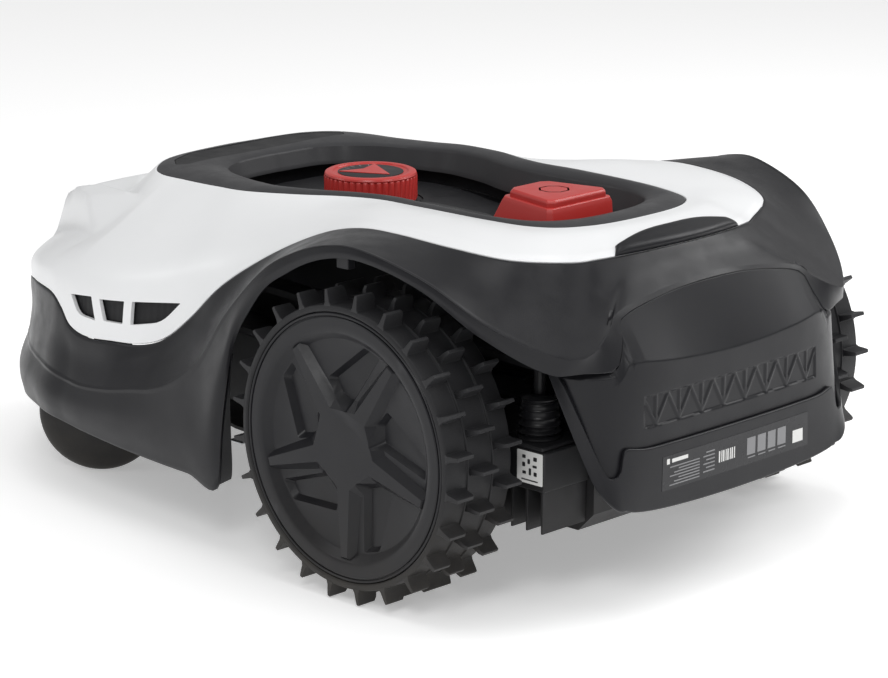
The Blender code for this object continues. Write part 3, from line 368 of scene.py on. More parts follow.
def prism(outline, low, high, axis="Z", bm=None):
    """A flat outline pushed from low to high along an axis."""
    bm = bm or bmesh.new()

    def place(p, level):
        a, b = p
        return {"Z": (a, b, level), "Y": (a, level, b), "X": (level, a, b)}[axis]

    bottom = [bm.verts.new(place(p, low)) for p in outline]
    top = [bm.verts.new(place(p, high)) for p in outline]
    bm.faces.new(bottom)
    bm.faces.new(top[::-1])
    for i in range(len(outline)):
        j = (i + 1) % len(outline)
        bm.faces.new((bottom[i], top[i], top[j], bottom[j]))
    return bm


def oblong(x0, x1, y0, y1):
    """Corners of a rectangle."""
    return [(x0, y0), (x1, y0), (x1, y1), (x0, y1)]


def rounded(outline, radius, steps=4):
    """A polygon with its corners rounded; radius is one number or one for each corner."""
    count = len(outline)
    radii = [radius] * count if isinstance(radius, (int, float)) else radius
    points = []
    for i, (corner, r) in enumerate(zip(outline, radii)):
        here = Vector(corner)
        before = (Vector(outline[i - 1]) - here).normalized()
        after = (Vector(outline[(i + 1) % count]) - here).normalized()
        if r <= 0:
            points.append(tuple(here))
            continue
        start, end = here + before * r, here + after * r
        for k in range(steps + 1):
            t = k / steps
            points.append(tuple(start * (1 - t) ** 2 + here * 2 * t * (1 - t) + end * t * t))
    return points


def lathe(profile, centre, axis="Z", turns=64, bm=None):
    """A closed (radius, height) profile turned round an axis through centre."""
    bm = bm or bmesh.new()
    poles, rings = {}, []
    for k in range(turns):
        a = 2 * math.pi * k / turns
        ring = []
        for i, (r, h) in enumerate(profile):
            u, v = r * math.cos(a), r * math.sin(a)
            offset = {"Z": (u, v, h), "Y": (v, h, u), "X": (h, u, v)}[axis]
            spot = tuple(c + o for c, o in zip(centre, offset))
            if r < 1e-9:
                if i not in poles:
                    poles[i] = bm.verts.new(spot)
                ring.append(poles[i])
            else:
                ring.append(bm.verts.new(spot))
        rings.append(ring)
    count = len(profile)
    for k in range(turns):
        here, there = rings[k], rings[(k + 1) % turns]
        for i in range(count):
            j = (i + 1) % count
            loop = []
            for v in (here[i], here[j], there[j], there[i]):
                if v not in loop:
                    loop.append(v)
            if len(loop) > 2:
                bm.faces.new(loop)
    return bm


def rod(spot, radius, low, high, turns, bm):
    """Add an upright cylinder over a spot."""
    profile = [(0, low), (radius, low), (radius, high), (0, high)]
    lathe(profile, (spot.x, spot.y, 0), "Z", turns, bm)


def weave(rings, closed=True, wrap=True, bm=None):
    """Quads between rings of points.  wrap joins the last ring to the first."""
    bm = bm or bmesh.new()
    rows = [[bm.verts.new(p) for p in ring] for ring in rings]
    last = len(rows) if wrap else len(rows) - 1
    for i in range(last):
        a, b = rows[i], rows[(i + 1) % len(rows)]
        span = len(a) if closed else len(a) - 1
        for k in range(span):
            m = (k + 1) % len(a)
            bm.faces.new((a[k], a[m], b[m], b[k]))
    if not closed:
        for end in (0, -1):
            bm.faces.new([row[end] for row in rows])
    return bm


def loft(rings, bm=None):
    """A closed skin over rings of points, with a flat face over each end."""
    bm = weave(rings, wrap=False, bm=bm)
    bm.verts.ensure_lookup_table()
    count, total = len(rings[0]), len(bm.verts)
    for first in (total - count * len(rings), total - count):
        bm.faces.new([bm.verts[first + i] for i in range(count)])
    return bm


def fair(values, positions, at):
    """Smooth curve through values at positions (a Hermite spline), at other positions."""
    s, p = np.asarray(positions, float), np.asarray(values, float)
    step = np.diff(s)[:, None]
    slope = np.diff(p, axis=0) / step
    tangent = np.empty_like(p)
    tangent[1:-1] = (slope[1:] * step[:-1] + slope[:-1] * step[1:]) / (step[1:] + step[:-1])
    tangent[0], tangent[-1] = slope[0], slope[-1]
    t = np.asarray(at, float)
    i = np.clip(np.searchsorted(s, t, side="right") - 1, 0, len(s) - 2)
    h = step[i]
    u = ((t - s[i]) / h[:, 0])[:, None]
    a, b = (1 + 2 * u) * (1 - u) ** 2, u * (1 - u) ** 2
    c, d = u * u * (3 - 2 * u), u * u * (u - 1)
    return a * p[i] + b * h * tangent[i] + c * p[i + 1] + d * h * tangent[i + 1]


# ---------------------------------------------------------------- the body loft
def curve(keys, stations):
    """Smooth curve through (station, x, y, z) keys, mirrored past the nose and the tail."""
    left = [k for k in keys if k[0] > 0]
    right = [k for k in keys if k[0] < LAST]
    full = [(-s, x, -y, z) for s, x, y, z in reversed(left)] + list(keys)
    full += [(2 * LAST - s, x, -y, z) for s, x, y, z in reversed(right)]
    table = np.array(full, float)
    return fair(table[:, 1:], table[:, 0], stations)


def from_nose(stations):
    """How many stations each one is from the nose, on either side."""
    return np.minimum(np.mod(stations, 2 * LAST), np.mod(-np.asarray(stations), 2 * LAST))


def flank(stations):
    """1 from the nose along the flanks, falling to 0 at the tail, where the skirt's edge turns up."""
    return np.clip((20.0 - from_nose(stations)) / 1.5, 0.0, 1.0)


def body_rows(stations):
    """The eight guiding rows of the body, from the deck opening down to the hem."""
    ring, shoulder = curve(RING, stations), curve(SHOULDER, stations)
    seam, crease, hem = curve(SEAM, stations), curve(CREASE, stations), curve(HEM, stations)
    crown = (ring + shoulder) / 2
    crown[:, 2] += np.interp(from_nose(stations), CROWN_AT, CROWN_LIFT)
    waist = (seam + crease) / 2
    waist[:, :2] *= 0.994
    bulge = crease * 0.45 + hem * 0.55
    deep = np.clip((crease[:, 2] - hem[:, 2]) / 0.045, 0.0, 1.0)
    bulge[:, :2] *= 1.0 + 0.022 * (deep * flank(stations))[:, None]
    return np.array([ring, crown, shoulder, seam, waist, crease, bulge, hem])


def blend_rows(rows, level):
    """A point row at a fractional level, with a crease at row 5."""
    top, bottom = (0, 5) if level <= 5 else (5, 7)
    i = min(int(level), bottom - 1)
    i = max(i, top)
    u = level - i
    p1, p2 = rows[i], rows[i + 1]
    p0 = rows[i - 1] if i > top else 2 * p1 - p2
    p3 = rows[i + 2] if i + 2 <= bottom else 2 * p2 - p1
    return 0.5 * (2 * p1 + (p2 - p0) * u + (2 * p0 - 5 * p1 + 4 * p2 - p3) * u ** 2
                  + (3 * p1 - p0 - 3 * p2 + p3) * u ** 3)


def body_grid(levels, stations):
    """Points of the body skin and their outward normals."""
    rows = body_rows(stations)
    fine = 0.01
    points = np.array([blend_rows(rows, v) for v in levels])
    below = np.array([blend_rows(rows, min(v + fine, 7)) for v in levels])
    above = np.array([blend_rows(rows, max(v - fine, 0)) for v in levels])
    near = body_rows(np.asarray(stations) + fine)
    far = body_rows(np.asarray(stations) - fine)
    along = np.array([blend_rows(near, v) - blend_rows(far, v) for v in levels])
    normal = np.cross(below - above, along)
    normal /= np.linalg.norm(normal, axis=2, keepdims=True)
    outward = points - np.array([0.0, 0.0, 0.10])
    flip = np.sign(np.sum(normal * outward, axis=2, keepdims=True))
    return points, normal * flip


def wall(points, normals, depth, reach=0.0006):
    """Rings of a wall of that depth behind a grid, its two long edges rounded."""
    def edge(p, n, inward):
        """Half-round edge from the outer face to the inner one."""
        towards = inward / np.maximum(np.linalg.norm(inward, axis=1, keepdims=True), 1e-9)
        rings = []
        for k in range(7):
            a = math.pi * k / 6
            lift = depth * 0.5 * (math.cos(a) - 1.0)
            rings.append(p + towards * reach * (1.0 - math.sin(a)) + n * lift)
        return rings

    top = edge(points[0], normals[0], points[1] - points[0])
    foot = edge(points[-1], normals[-1], points[-2] - points[-1])
    outer = list(points[1:-1])
    inner = list(points[1:-1] - normals[1:-1] * depth)
    return top[::-1] + outer + foot + inner[::-1]


def inset(loop, distance):
    """A closed loop moved inwards in plan."""
    tangent = np.roll(loop, -1, axis=0) - np.roll(loop, 1, axis=0)
    side = np.stack([-tangent[:, 1], tangent[:, 0], np.zeros(len(loop))], axis=1)
    side /= np.linalg.norm(side, axis=1, keepdims=True)
    if np.sum(side * (loop.mean(axis=0) - loop)) < 0:
        side = -side
    return loop + side * distance


LOOP = np.arange(0.0, 2 * LAST, 0.125)


# ---------------------------------------------------------------- covers on the floating shell
def brows(points):
    """Raise the two wedge-shaped brows on the front corners of the shell."""
    x, y = points[:, :, 0], np.abs(points[:, :, 1])
    planes = [z0 - fall_x * (x - x0) - fall_y * (y - y0)
              for x0, y0, z0, fall_x, fall_y in BROW_PLANES.values()]
    rise = np.minimum.reduce(planes) - points[:, :, 2]
    lift = (rise + np.sqrt(rise ** 2 + BROW_SOFT ** 2)) / 2
    points[:, :, 2] += np.where(rise > -.006, lift, 0.0) * np.clip((x - .12) / .01, 0, 1)
    return points


def upper_shell():
    """White shell with a brow on each front corner and vent windows on each flank."""
    levels, stations = np.arange(0.0, 3.01, 0.05), np.arange(0.0, 2 * LAST, 0.0625)
    points, normals = body_grid(levels, stations)
    raised = brows(points.copy())
    raised[levels > BROW_LEVEL] = points[levels > BROW_LEVEL]
    shell = piece("shell_upper", weave(wall(raised, normals, SKIN)), "white_shell", "shell",
                  ["top_shell"], smooth=50)
    bm = bmesh.new()
    for side in (-1, 1):
        for outline, radii in VENTS:
            prism(rounded(outline, radii), side * 0.150, side * 0.215, "Y", bm)
    carve(shell, "vent_window_cutter", bm, smooth=40)


def lower_skirt():
    """Dark skirt with the wheel arches in its hem, and a fine bead along its crease."""
    bead = (4.98, 5.02)
    above, below = np.arange(3.0, 4.9, 0.125), np.arange(5.125, 7.01, 0.125)
    levels = np.concatenate([above, (4.93, *bead, 5.07), below])
    points, normals = body_grid(levels, LOOP)
    rows = np.isin(levels, bead)
    points[rows] += normals[rows] * (0.0005 * flank(LOOP))[None, :, None]
    step = points[1] - points[0]
    points[0] += step * (SEAM_GAP / np.linalg.norm(step, axis=1, keepdims=True))
    piece("skirt_lower", weave(wall(points, normals, SKIN)), "charcoal_shell", "shell",
          ["lower_skirt"], smooth=50)


def mirrored_stations(stations, side):
    """The same stations on the given side of the body."""
    return stations if side > 0 else 2 * LAST - stations


def arch_returns():
    """Inward flange down the front edge of each wheel arch, and the tab at its top."""
    stations = np.linspace(11.99, 13.4, 22)
    share = np.linspace(0.0, 1.0, len(stations))
    least = 0.0022
    reach = 0.0165 * (1 - share ** 1.3) + 0.0005
    for word, side in SIDES:
        hem = curve(HEM, mirrored_stations(stations, side))
        rings = []
        for ahead in (0.0002, 0.0024):
            for k in np.linspace(0.0, 1.0, 6):
                row = hem.copy()
                row[:, 1] -= side * (least + (reach - least) * k)
                row[:, 0] += ahead + 0.004 * k * (1 - share)
                rings.append(row)
        ordered = rings[:6] + rings[:5:-1]
        piece(f"arch_flange_{word}", weave(ordered, closed=False), "charcoal_shell", "shell", bevel=0.0004)
        y = side * 0.2035
        lo, hi = sorted((y - side * 0.004, y + side * 0.003))
        piece(f"arch_tab_{word}", block((-.1632, lo, .2290), (-.1520, hi, .2375)), "charcoal_shell",
              "shell", bevel=0.0008)


def deck_frame():
    """Grey frame round the console well, with its sloping inner wall and a pocket for the inlay."""
    edge = inset(curve(RING, LOOP), SEAM_GAP)
    rim = curve(BOWL, LOOP)
    foot = inset(rim, 0.0055)
    foot[:, 2] = FLOOR_Z + 0.0070
    lip = inset(rim, 0.0010)
    lip[:, 2] -= 0.0012
    across = rim - edge
    arch = 0.0022
    top = [edge + across * t + (0, 0, arch * math.sin(math.pi * t)) for t in np.linspace(0, 1, 9)]
    outer = [edge - (0, 0, 0.0007), top[0] + across * 0.012] + top[1:-1] + [rim - across * 0.02, lip]
    outer += [lip + (foot - lip) * t for t in (0.08, 0.3, 0.55, 0.8, 1.0)]
    under = [p - (0, 0, 0.003) for p in outer[:10]]
    under[-1] = inset(rim, -0.0028) - (0, 0, 0.004)
    rings = outer + [foot - (0, 0, 0.0008), inset(foot, -0.003)] + under[::-1]
    ring = piece("deck_frame", weave(rings), "deck_grey", "shell", ["deck_ring"], smooth=40)
    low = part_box("deck_ring_inlay")[0].z
    carve(ring, "inlay_pocket_cutter", prism(rounded(INLAY, .004), low, 0.250), smooth=38)


def deck_inlay():
    """Dark inlay in the front of the deck frame, a little smaller than its pocket."""
    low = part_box("deck_ring_inlay")[0].z
    outline = rounded([(x * 0.994 + 0.001, y * 0.992) for x, y in INLAY], .004)
    piece("deck_inlay", prism(outline, low + .0004, 0.2391), "black_trim", "shell", ["deck_ring_inlay"],
          bevel=0.0004)


def vent_screens():
    """Dark ribbed panel behind the vent windows of each flank."""
    stations = np.arange(4.9, 10.6, 0.05)
    ripple = 0.0001 * (1 + np.sin(stations * 2 * math.pi * 4.0))[None, :, None]
    for word, side in SIDES:
        points, normals = body_grid(np.arange(2.1, 2.86, 0.05), mirrored_stations(stations, side))
        face = points - normals * (SKIN + 0.0012 + ripple)
        back = points - normals * (SKIN + 0.0040)
        piece(f"vent_screen_{word}", weave([*face, *back[::-1]], closed=False), "black_trim", "shell",
              [f"vent_grille_{word}"])


def nose_housing():
    """Raised white housing for the forward camera."""
    first, last = 0.85, 2.86
    levels = np.arange(first, 2.90, 0.05)
    base, normals = body_grid(levels, np.linspace(-0.95, 0.95, 77))
    keys = np.array(HUMP)
    side_view = fair(keys[:, 1:], keys[:, 0], levels)
    fade = np.clip((HUMP_EDGE - np.abs(base[:, :, 1])) / (HUMP_EDGE - HUMP_FLAT), 0.0, 1.0)
    start = np.clip((levels - first) / 0.25, 0.0, 1.0)[:, None]
    end = np.clip((last - levels) / 0.2, 0.0, 1.0)[:, None]
    fade = fade * fade * (3 - 2 * fade) * start * end
    outer = base + normals * 0.0004
    for column, place in ((0, side_view[:, :1]), (2, side_view[:, 1:])):
        wanted = base[:, :, column] * (1 - fade) + place * fade
        outer[:, :, column] = np.maximum(outer[:, :, column], wanted)
    inner = base - normals * 0.0012
    piece("nose_housing", weave([*outer, *inner[::-1]], closed=False), "white_shell", "shell",
          ["camera_housing"], smooth=60)


def nose_lens():
    """Lens of the forward camera: a ringed glass dome."""
    place = centre_of("camera_lens")
    back, tip = (corner.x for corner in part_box("camera_lens"))
    ring, groove = tip - .0004, tip - .0012
    profile = [(0, back - .002), (.0085, back - .002), (.0085, groove), (.0078, ring), (.0070, ring),
               (.0064, groove), (.0058, groove), (.0040, ring), (0, tip)]
    piece("nose_lens", lathe(profile, (0, place.y, place.z), "X", 48), "lens_dark", "shell",
          ["camera_lens"])


# ---------------------------------------------------------------- rear cover
def both_halves(keys):
    """(share, x, y) keys of one half, with the mirrored half before them."""
    half = np.array(keys)
    return np.concatenate([half[:0:-1] * (-1, 1, -1), half])


def cover_plan(share, z):
    """A point of the rear cover's surface: share runs -1..1 round the U, z is the height."""
    top, low = (fair(keys[:, 1:], keys[:, 0], np.abs(share))
                for keys in (both_halves(COVER_TOP), both_halves(COVER_FOOT)))
    w = np.clip((z - COVER_FOOT_Z) / (COVER_TOP_Z - COVER_FOOT_Z), -0.15, 1.0)[:, None]
    plan = low * (1 - w) + top * w
    return np.stack([plan[:, 0], plan[:, 1] * np.sign(share), z], axis=1)


def notch(y):
    """Height and depth of the skirt's tail edge over the cover, at y."""
    edge = curve(HEM, np.linspace(21.2, LAST, 181))[::-1]
    reach = np.abs(y)
    return np.interp(reach, edge[:, 1], edge[:, 2]), np.interp(reach, edge[:, 1], edge[:, 0])


def cover_grid(shares, lows, highs, rows, lift=0.0):
    """Points and normals of the rear cover between two heights for each share."""
    def surface(s, z):
        """The cover's plan, leaning in under the skirt above an arc across its face."""
        flat = cover_plan(s.ravel(), z.ravel()).reshape(*s.shape, 3)
        top, deep = notch(flat[:, :, 1])
        arc = 0.168 + 0.006 * np.clip(np.abs(flat[:, :, 1]) / 0.09, 0.0, 1.0) ** 2
        arc = np.minimum(arc, np.maximum(top - 0.010, 0.150))
        rise = np.clip((z - arc) / (top - arc), 0.0, 1.0)
        on_face = np.clip((0.655 - np.abs(s)) / 0.03, 0, 1)
        flat[:, :, 0] += (deep + 0.0008 - flat[:, :, 0]) * rise * on_face
        return flat

    s = np.repeat(np.asarray(shares)[None, :], rows, axis=0)
    t = np.linspace(0.0, 1.0, rows)[:, None]
    z = lows[None, :] * (1 - t) + highs[None, :] * t
    ds, dz = 0.002, 0.0005
    p = surface(s, z)
    n = np.cross(surface(s + ds, z) - surface(s - ds, z), surface(s, z + dz) - surface(s, z - dz))
    n /= np.linalg.norm(n, axis=2, keepdims=True)
    away = p - np.array([-0.15, 0.0, 0.12])
    n *= np.sign(np.sum(n * away, axis=2, keepdims=True))
    return p + n * lift, n


def cover_foot(shares):
    """Bottom edge of the cover and bumper, turning up round each lower corner."""
    u = np.abs(shares)
    flat = 0.068 + 0.008 * np.clip(u / 0.68, 0, 1) ** 2
    turn = np.clip((u - 0.70) / 0.30, 0, 1)
    return flat + 0.026 * (1 - np.sqrt(1 - turn ** 2.2))


def bumper_top(shares):
    """Upper edge of the bumper: a step across the face, a notch at the corner, a strip up the flank."""
    keys = [(0, .1150), (.30, .1152), (.50, .1160), (.575, .1176), (.605, .1178), (.63, .1160),
            (.65, .1110), (.67, .1050), (.70, .1012), (.76, .0998), (.81, .1004), (.84, .1040),
            (.862, .1110), (.885, .1260), (.905, .1430), (.925, .1600), (.945, .1700), (1.0, .1740)]
    table = np.array(keys)
    return fair(table[:, 1:], table[:, 0], np.abs(shares))[:, 0]


def band_depth(y, z):
    """How far the tail's zigzag band is sunk: a shallow frame with raised strokes in it."""
    middle, half_w, half_h, slope = 0.1392, 0.0920, 0.0112, 0.0012
    inside = np.minimum((half_w - np.abs(y)) / slope, (half_h - np.abs(z - middle)) / slope)
    pitch = 0.0230
    phase = np.mod(y / pitch, 1.0)
    zigzag = (np.abs(2 * phase - 1) * 2 - 1) * half_h * 0.86
    strokes = np.minimum(np.abs(z - middle - zigzag) / 0.0021, np.abs(phase - 0.5) * pitch / 0.0011)
    raised = np.clip(1.6 - strokes, 0.0, 1.0)
    return np.clip(inside, 0.0, 1.0) * (0.0012 - 0.0008 * raised)


def tail_cover():
    """Rear cover: domed cap over an upright face with a sunken patterned band."""
    shares = np.linspace(-1.0, 1.0, 401)
    lows = cover_foot(shares) + 0.006
    face = cover_plan(shares, np.full_like(shares, 0.17))
    highs = np.where(np.abs(shares) < 0.625, notch(face[:, 1])[0] - 0.0005, 0.1755)
    p, n = cover_grid(shares, lows, highs, 170)
    z = p[:, :, 2]
    p = p - n * band_depth(p[:, :, 1], z)[:, :, None]
    tuck = np.clip((z - 0.166) / 0.004, 0, 1) * np.clip((np.abs(shares)[None, :] - 0.620) / 0.02, 0, 1)
    p = p - n * (0.0032 * tuck)[:, :, None]
    piece("tail_cover", weave(wall(p, n, 0.0026), closed=False), "charcoal_shell", "shell",
          ["rear_cover"], smooth=35)


def tail_bumper():
    """Proud bumper across the foot of the rear cover, running up the flanks' front edges."""
    shares = np.linspace(-1.0, 1.0, 481)
    p, n = cover_grid(shares, cover_foot(shares), bumper_top(shares), 26, lift=0.0032)
    piece("tail_bumper", weave(wall(p, n, 0.0030, reach=0.0012), closed=False), "charcoal_shell", "shell",
          smooth=45)


def plate_patch(bm, y0, y1, z0, z1, lift=0.00355):
    """A thin curved patch of the bumper's face between two widths and two heights."""
    ys = np.linspace(y0, y1, max(3, int(abs(y1 - y0) / 0.008)))
    keys = np.array(COVER_FOOT)
    shares = np.interp(np.abs(ys), keys[:, 2], keys[:, 0]) * np.sign(ys)
    p, n = cover_grid(shares, np.full_like(ys, z0), np.full_like(ys, z1), 3, lift=lift)
    return weave([*p, *(p - n * 0.0003)[::-1]], closed=False, bm=bm)


def marking_plate():
    """Plain rating plate on the bumper, with generic bars and boxes in place of print."""
    base = plate_patch(None, -.078, .078, .0825, .1065, lift=0.0034)
    pale, grey = bmesh.new(), bmesh.new()
    for k in range(7):
        z = 0.0850 + 0.0021 * k
        plate_patch(grey, .040, .070 - .0045 * (k % 3), z, z + 0.0008)
    plate_patch(pale, .052, .068, .1010, .1036)
    plate_patch(pale, .0705, .0735, .1005, .1042)
    for k in range(6):
        z = 0.0868 + 0.0027 * k
        plate_patch(grey, .024, .036 - .003 * (k % 2), z, z + 0.0009)
    for k in range(8):
        y = .003 + .0022 * k
        plate_patch(pale, y, y + .0009 + .0004 * (k % 2), .0905, .0985)
    for k in range(4):
        y = -.0100 - 0.0112 * k
        plate_patch(grey, y - .0088, y, .0892, .1014)
        plate_patch(grey, y - .0088, y - .001, .0868, .0876)
    plate_patch(pale, -.0715, -.0600, .0870, .0960)
    for name, bm, mat in (("rating_plate", base, "plate_dark"), ("rating_plate_print", pale, "plate_pale"),
                          ("rating_plate_boxes", grey, "plate_grey")):
        piece(name, bm, "keypad_gloss", "shell", mat=mat, smooth=60)


def rear_pad():
    """Rounded pad over the rear edge of the white shell."""
    half = LAST - 21.38
    stations = np.linspace(LAST - half, LAST + half, 121)
    across = np.abs(stations - LAST) / half
    top, foot = 1.38 + 0.80 * across ** 3, 2.995
    ends = np.clip(1 - across ** 16, 0, 1) ** 0.5
    outer, inner = [], []
    own = np.arange(len(stations))
    for share in np.arange(37) / 36:
        grid = body_grid(top + (foot - top) * share, stations)
        points, normals = (values[own, own] for values in grid)
        dome = max(1 - abs(2 * share - 1) ** 5, 0.0) ** 0.5
        outer.append(points + normals * (0.0002 + 0.0036 * dome * ends)[:, None])
        inner.append(points - normals * 0.0006)
    piece("rear_pad", weave(outer + inner[::-1], closed=False), "charcoal_shell", "shell",
          ["rear_grip"], smooth=60)


# ---------------------------------------------------------------- console
def level_rings(loop, heights):
    """A closed loop at each of several (height, distance inwards) pairs."""
    rings = []
    for z, inwards in heights:
        row = inset(loop, inwards)
        row[:, 2] = z
        rings.append(row)
    return rings


def console():
    """Housing under the well: its floor has grooves, and holes for the spindle and the stems."""
    base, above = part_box("console_housing")[0].z, FLOOR_Z + .01
    heights = [(base, 0), (FLOOR_Z - .0040, 0), (FLOOR_Z - .0022, .0004), (FLOOR_Z - .0008, .0014),
               (FLOOR_Z, .0032)]
    bm = loft(level_rings(inset(curve(BOWL, LOOP), 0.0135), heights))
    house = piece("console_body", bm, "console_black", "chassis", ["console_housing"], smooth=40)
    bm = bmesh.new()
    for x in (-0.101, -0.094):
        prism(rounded(oblong(x - .0012, x + .0012, -.030, .030), .001), FLOOR_Z - .0015, above, bm=bm)
    groove = FLOOR_Z - .0010
    ring = [(.0375, groove), (.0395, groove), (.0395, above), (.0375, above)]
    lathe(ring, (KNOB.x, KNOB.y, 0), "Z", 72, bm)
    radii = {name: (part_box(name)[1].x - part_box(name)[0].x) / 2 for name in ("height_spindle", "stop_stem")}
    radii.update(key_start=KEY_STEM_R, key_home=KEY_STEM_R)
    for name, radius in radii.items():
        rod(centre_of(name), radius + STEM_GAP, base - .01, above, 32, bm)
    carve(house, "console_groove_cutter", bm, smooth=35)


def console_apron():
    """Dark flange under the gap round the console floor, with a fence outside the well's wall."""
    low, shelf, high = FLOOR_Z - .0100, FLOOR_Z - .0075, FLOOR_Z + .0100
    heights = [(low, .016), (low, -.0100), (high, -.0100), (high, -.0080), (shelf, -.0080), (shelf, .016)]
    piece("console_apron", weave(level_rings(curve(BOWL, LOOP), heights)), "console_black", "chassis",
          bevel=0.0006)


def keypad():
    """Glossy panel with two soft keys and two slim lamp windows."""
    low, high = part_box("keypad_panel")
    half = (high.y - low.y) / 2
    outline = rounded(oblong(low.x, high.x, -half, half), half * 0.7, 8)
    panel = piece("key_panel", prism(outline, low.z, high.z), "keypad_gloss", "chassis", ["keypad_panel"])
    names = ("key_start", "key_home")
    spots = [centre_of(name) for name in names]
    bm = bmesh.new()
    for spot in spots:
        rod(spot, .0087, low.z - .002, high.z + .002, 48, bm)
    carve(panel, "key_hole_cutter", bm)
    soften(panel, 0.0004, 2)
    under = low.z + .0012
    for name, spot in zip(names, spots):
        foot, top = (corner.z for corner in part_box(name))
        profile = [(0, foot), (KEY_STEM_R, foot), (KEY_STEM_R, under), (.0080, under),
                   (.0080, top - .0009), (.0077, top - .0004), (.0070, top - .0001),
                   (.0060, top - .0002), (.0030, top - .0006), (0, top - .0007)]
        piece(f"{name}_cap", lathe(profile, (spot.x, spot.y, 0), "Z", 48), "key_rubber", name, [name],
              smooth=50)
    x = (spots[0].x + spots[1].x) / 2
    for k, y in enumerate((-.0125, .0125), 1):
        outline = rounded(oblong(x - .009, x + .009, y - .0010, y + .0010), .0009)
        piece(f"lamp_window_{k}", prism(outline, high.z - .0006, high.z + .0002), "keypad_gloss", "chassis",
              mat="plate_dark")


def knob():
    """Ribbed height knob with a chamfered rim."""
    ribs, steps = 42, 8
    low, top, r = KNOB_LOW.z, KNOB_HIGH.z, KNOB_R
    # (radius, height, share of the ribs' depth)
    rows = [(0.0330, low, 0), (r - .0004, low + .0006, 0), (r, low + .0014, 1), (r, top - .0042, 1),
            (r - .0003, top - .0034, .8), (r - .0006, top - .0030, 0), (r - .0004, top - .0022, 0),
            (r - .0010, top - .0009, 0), (r - .0026, top - .0001, 0), (.0290, top, 0),
            (.0284, top - .0003, 0), (.0280, top - .0010, 0), (.0276, top - .0012, 0)]
    rings = []
    for radius, z, share in rows:
        ring = []
        for k in range(ribs * steps):
            a = 2 * math.pi * k / (ribs * steps)
            wave = 0.5 - 0.5 * math.cos(2 * math.pi * k / steps)
            reach = radius - 0.0013 * share * wave ** 2.2
            ring.append((KNOB.x + reach * math.cos(a), KNOB.y + reach * math.sin(a), z))
        rings.append(ring)
    piece("knob_body", loft(rings), "signal_red", "height_knob", ["height_knob"], smooth=32)


def turned(points, degrees):
    """Flat points turned about the origin."""
    c, s = math.cos(math.radians(degrees)), math.sin(math.radians(degrees))
    return [(u * c - v * s, u * s + v * c) for u, v in points]


def knob_face():
    """Dark disc sunk in the knob, with a raised pointer and five ticks."""
    face = KNOB_HIGH.z - .0012
    profile = [(0, face - .0004), (.0246, face - .0004), (.0246, face + .0003), (.0240, face + .0005),
               (0, face + .0005)]
    piece("knob_dial", lathe(profile, (KNOB.x, KNOB.y, 0), "Z", 64), "console_black", "height_knob",
          mat="ink_dark")
    pointer = [(KNOB.x + .0150, -.0190), (KNOB.x - .0205, 0), (KNOB.x + .0150, .0190), (KNOB.x + .0080, 0)]
    piece("knob_pointer", prism(rounded(pointer, .0012), face + .0004, face + .0011), "signal_red",
          "height_knob", bevel=0.0002)
    bm = bmesh.new()
    for degrees in (-40, -20, 0, 20, 40):
        tick = turned(oblong(.0175, .0215, -.0004, .0004), degrees)
        prism([(KNOB.x + x, y) for x, y in tick], face + .0004, face + .0008, bm=bm)
    piece("knob_ticks", bm, "console_black", "height_knob", mat="plate_grey")


def stop_switch():
    """Wedge-shaped stop switch: ramped skirt under a raised pad with a plain octagon on it."""
    low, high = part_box("stop_button")
    rear = low.x + 0.0020

    def plan(z, back, front, wide, narrow, chamfer=0.0030):
        """Eight-cornered outline, wide at the rear."""
        half = [(back, wide - chamfer), (back + chamfer, wide), (front - chamfer, narrow + .0012),
                (front, narrow - chamfer)]
        return [(x, -y, z) for x, y in half] + [(x, y, z) for x, y in half[::-1]]

    body = [plan(low.z, rear - .002, -.1165, .0358, .0262), plan(.2290, rear - .0015, -.1215, .0350, .0242),
            plan(.2430, rear - .0010, -.1285, .0342, .0222), plan(.2462, rear, -.1300, .0330, .0210),
            plan(.2467, rear + .0008, -.1310, .0322, .0202)]
    piece("stop_body", loft(body), "signal_red", "stop_button", ["stop_button"], bevel=0.0016, segments=4,
          smooth=30)
    pad = [plan(.2461, rear + .0012, -.1325, .0310, .0194, .0040),
           plan(high.z - .0022, rear + .0012, -.1332, .0308, .0192, .0040),
           plan(high.z - .0004, rear + .0026, -.1346, .0294, .0178, .0040),
           plan(high.z - .0001, rear + .0100, -.1400, .0240, .0150, .0040)]
    piece("stop_pad", loft(pad), "signal_red", "stop_button", bevel=0.0010, segments=3, smooth=30)
    middle = (rear - .1282) / 2 - 0.003
    corners = [math.radians(22.5 + 45 * k) for k in range(8)]
    foot, top = high.z - .0012, high.z - .0001
    rings = [[(middle + r * math.cos(a), r * math.sin(a), z) for a in corners]
             for r, z in ((.0120, foot), (.0120, top), (.0098, top), (.0098, foot))]
    piece("stop_mark", weave(rings), "signal_red", "stop_button", bevel=0.0003)


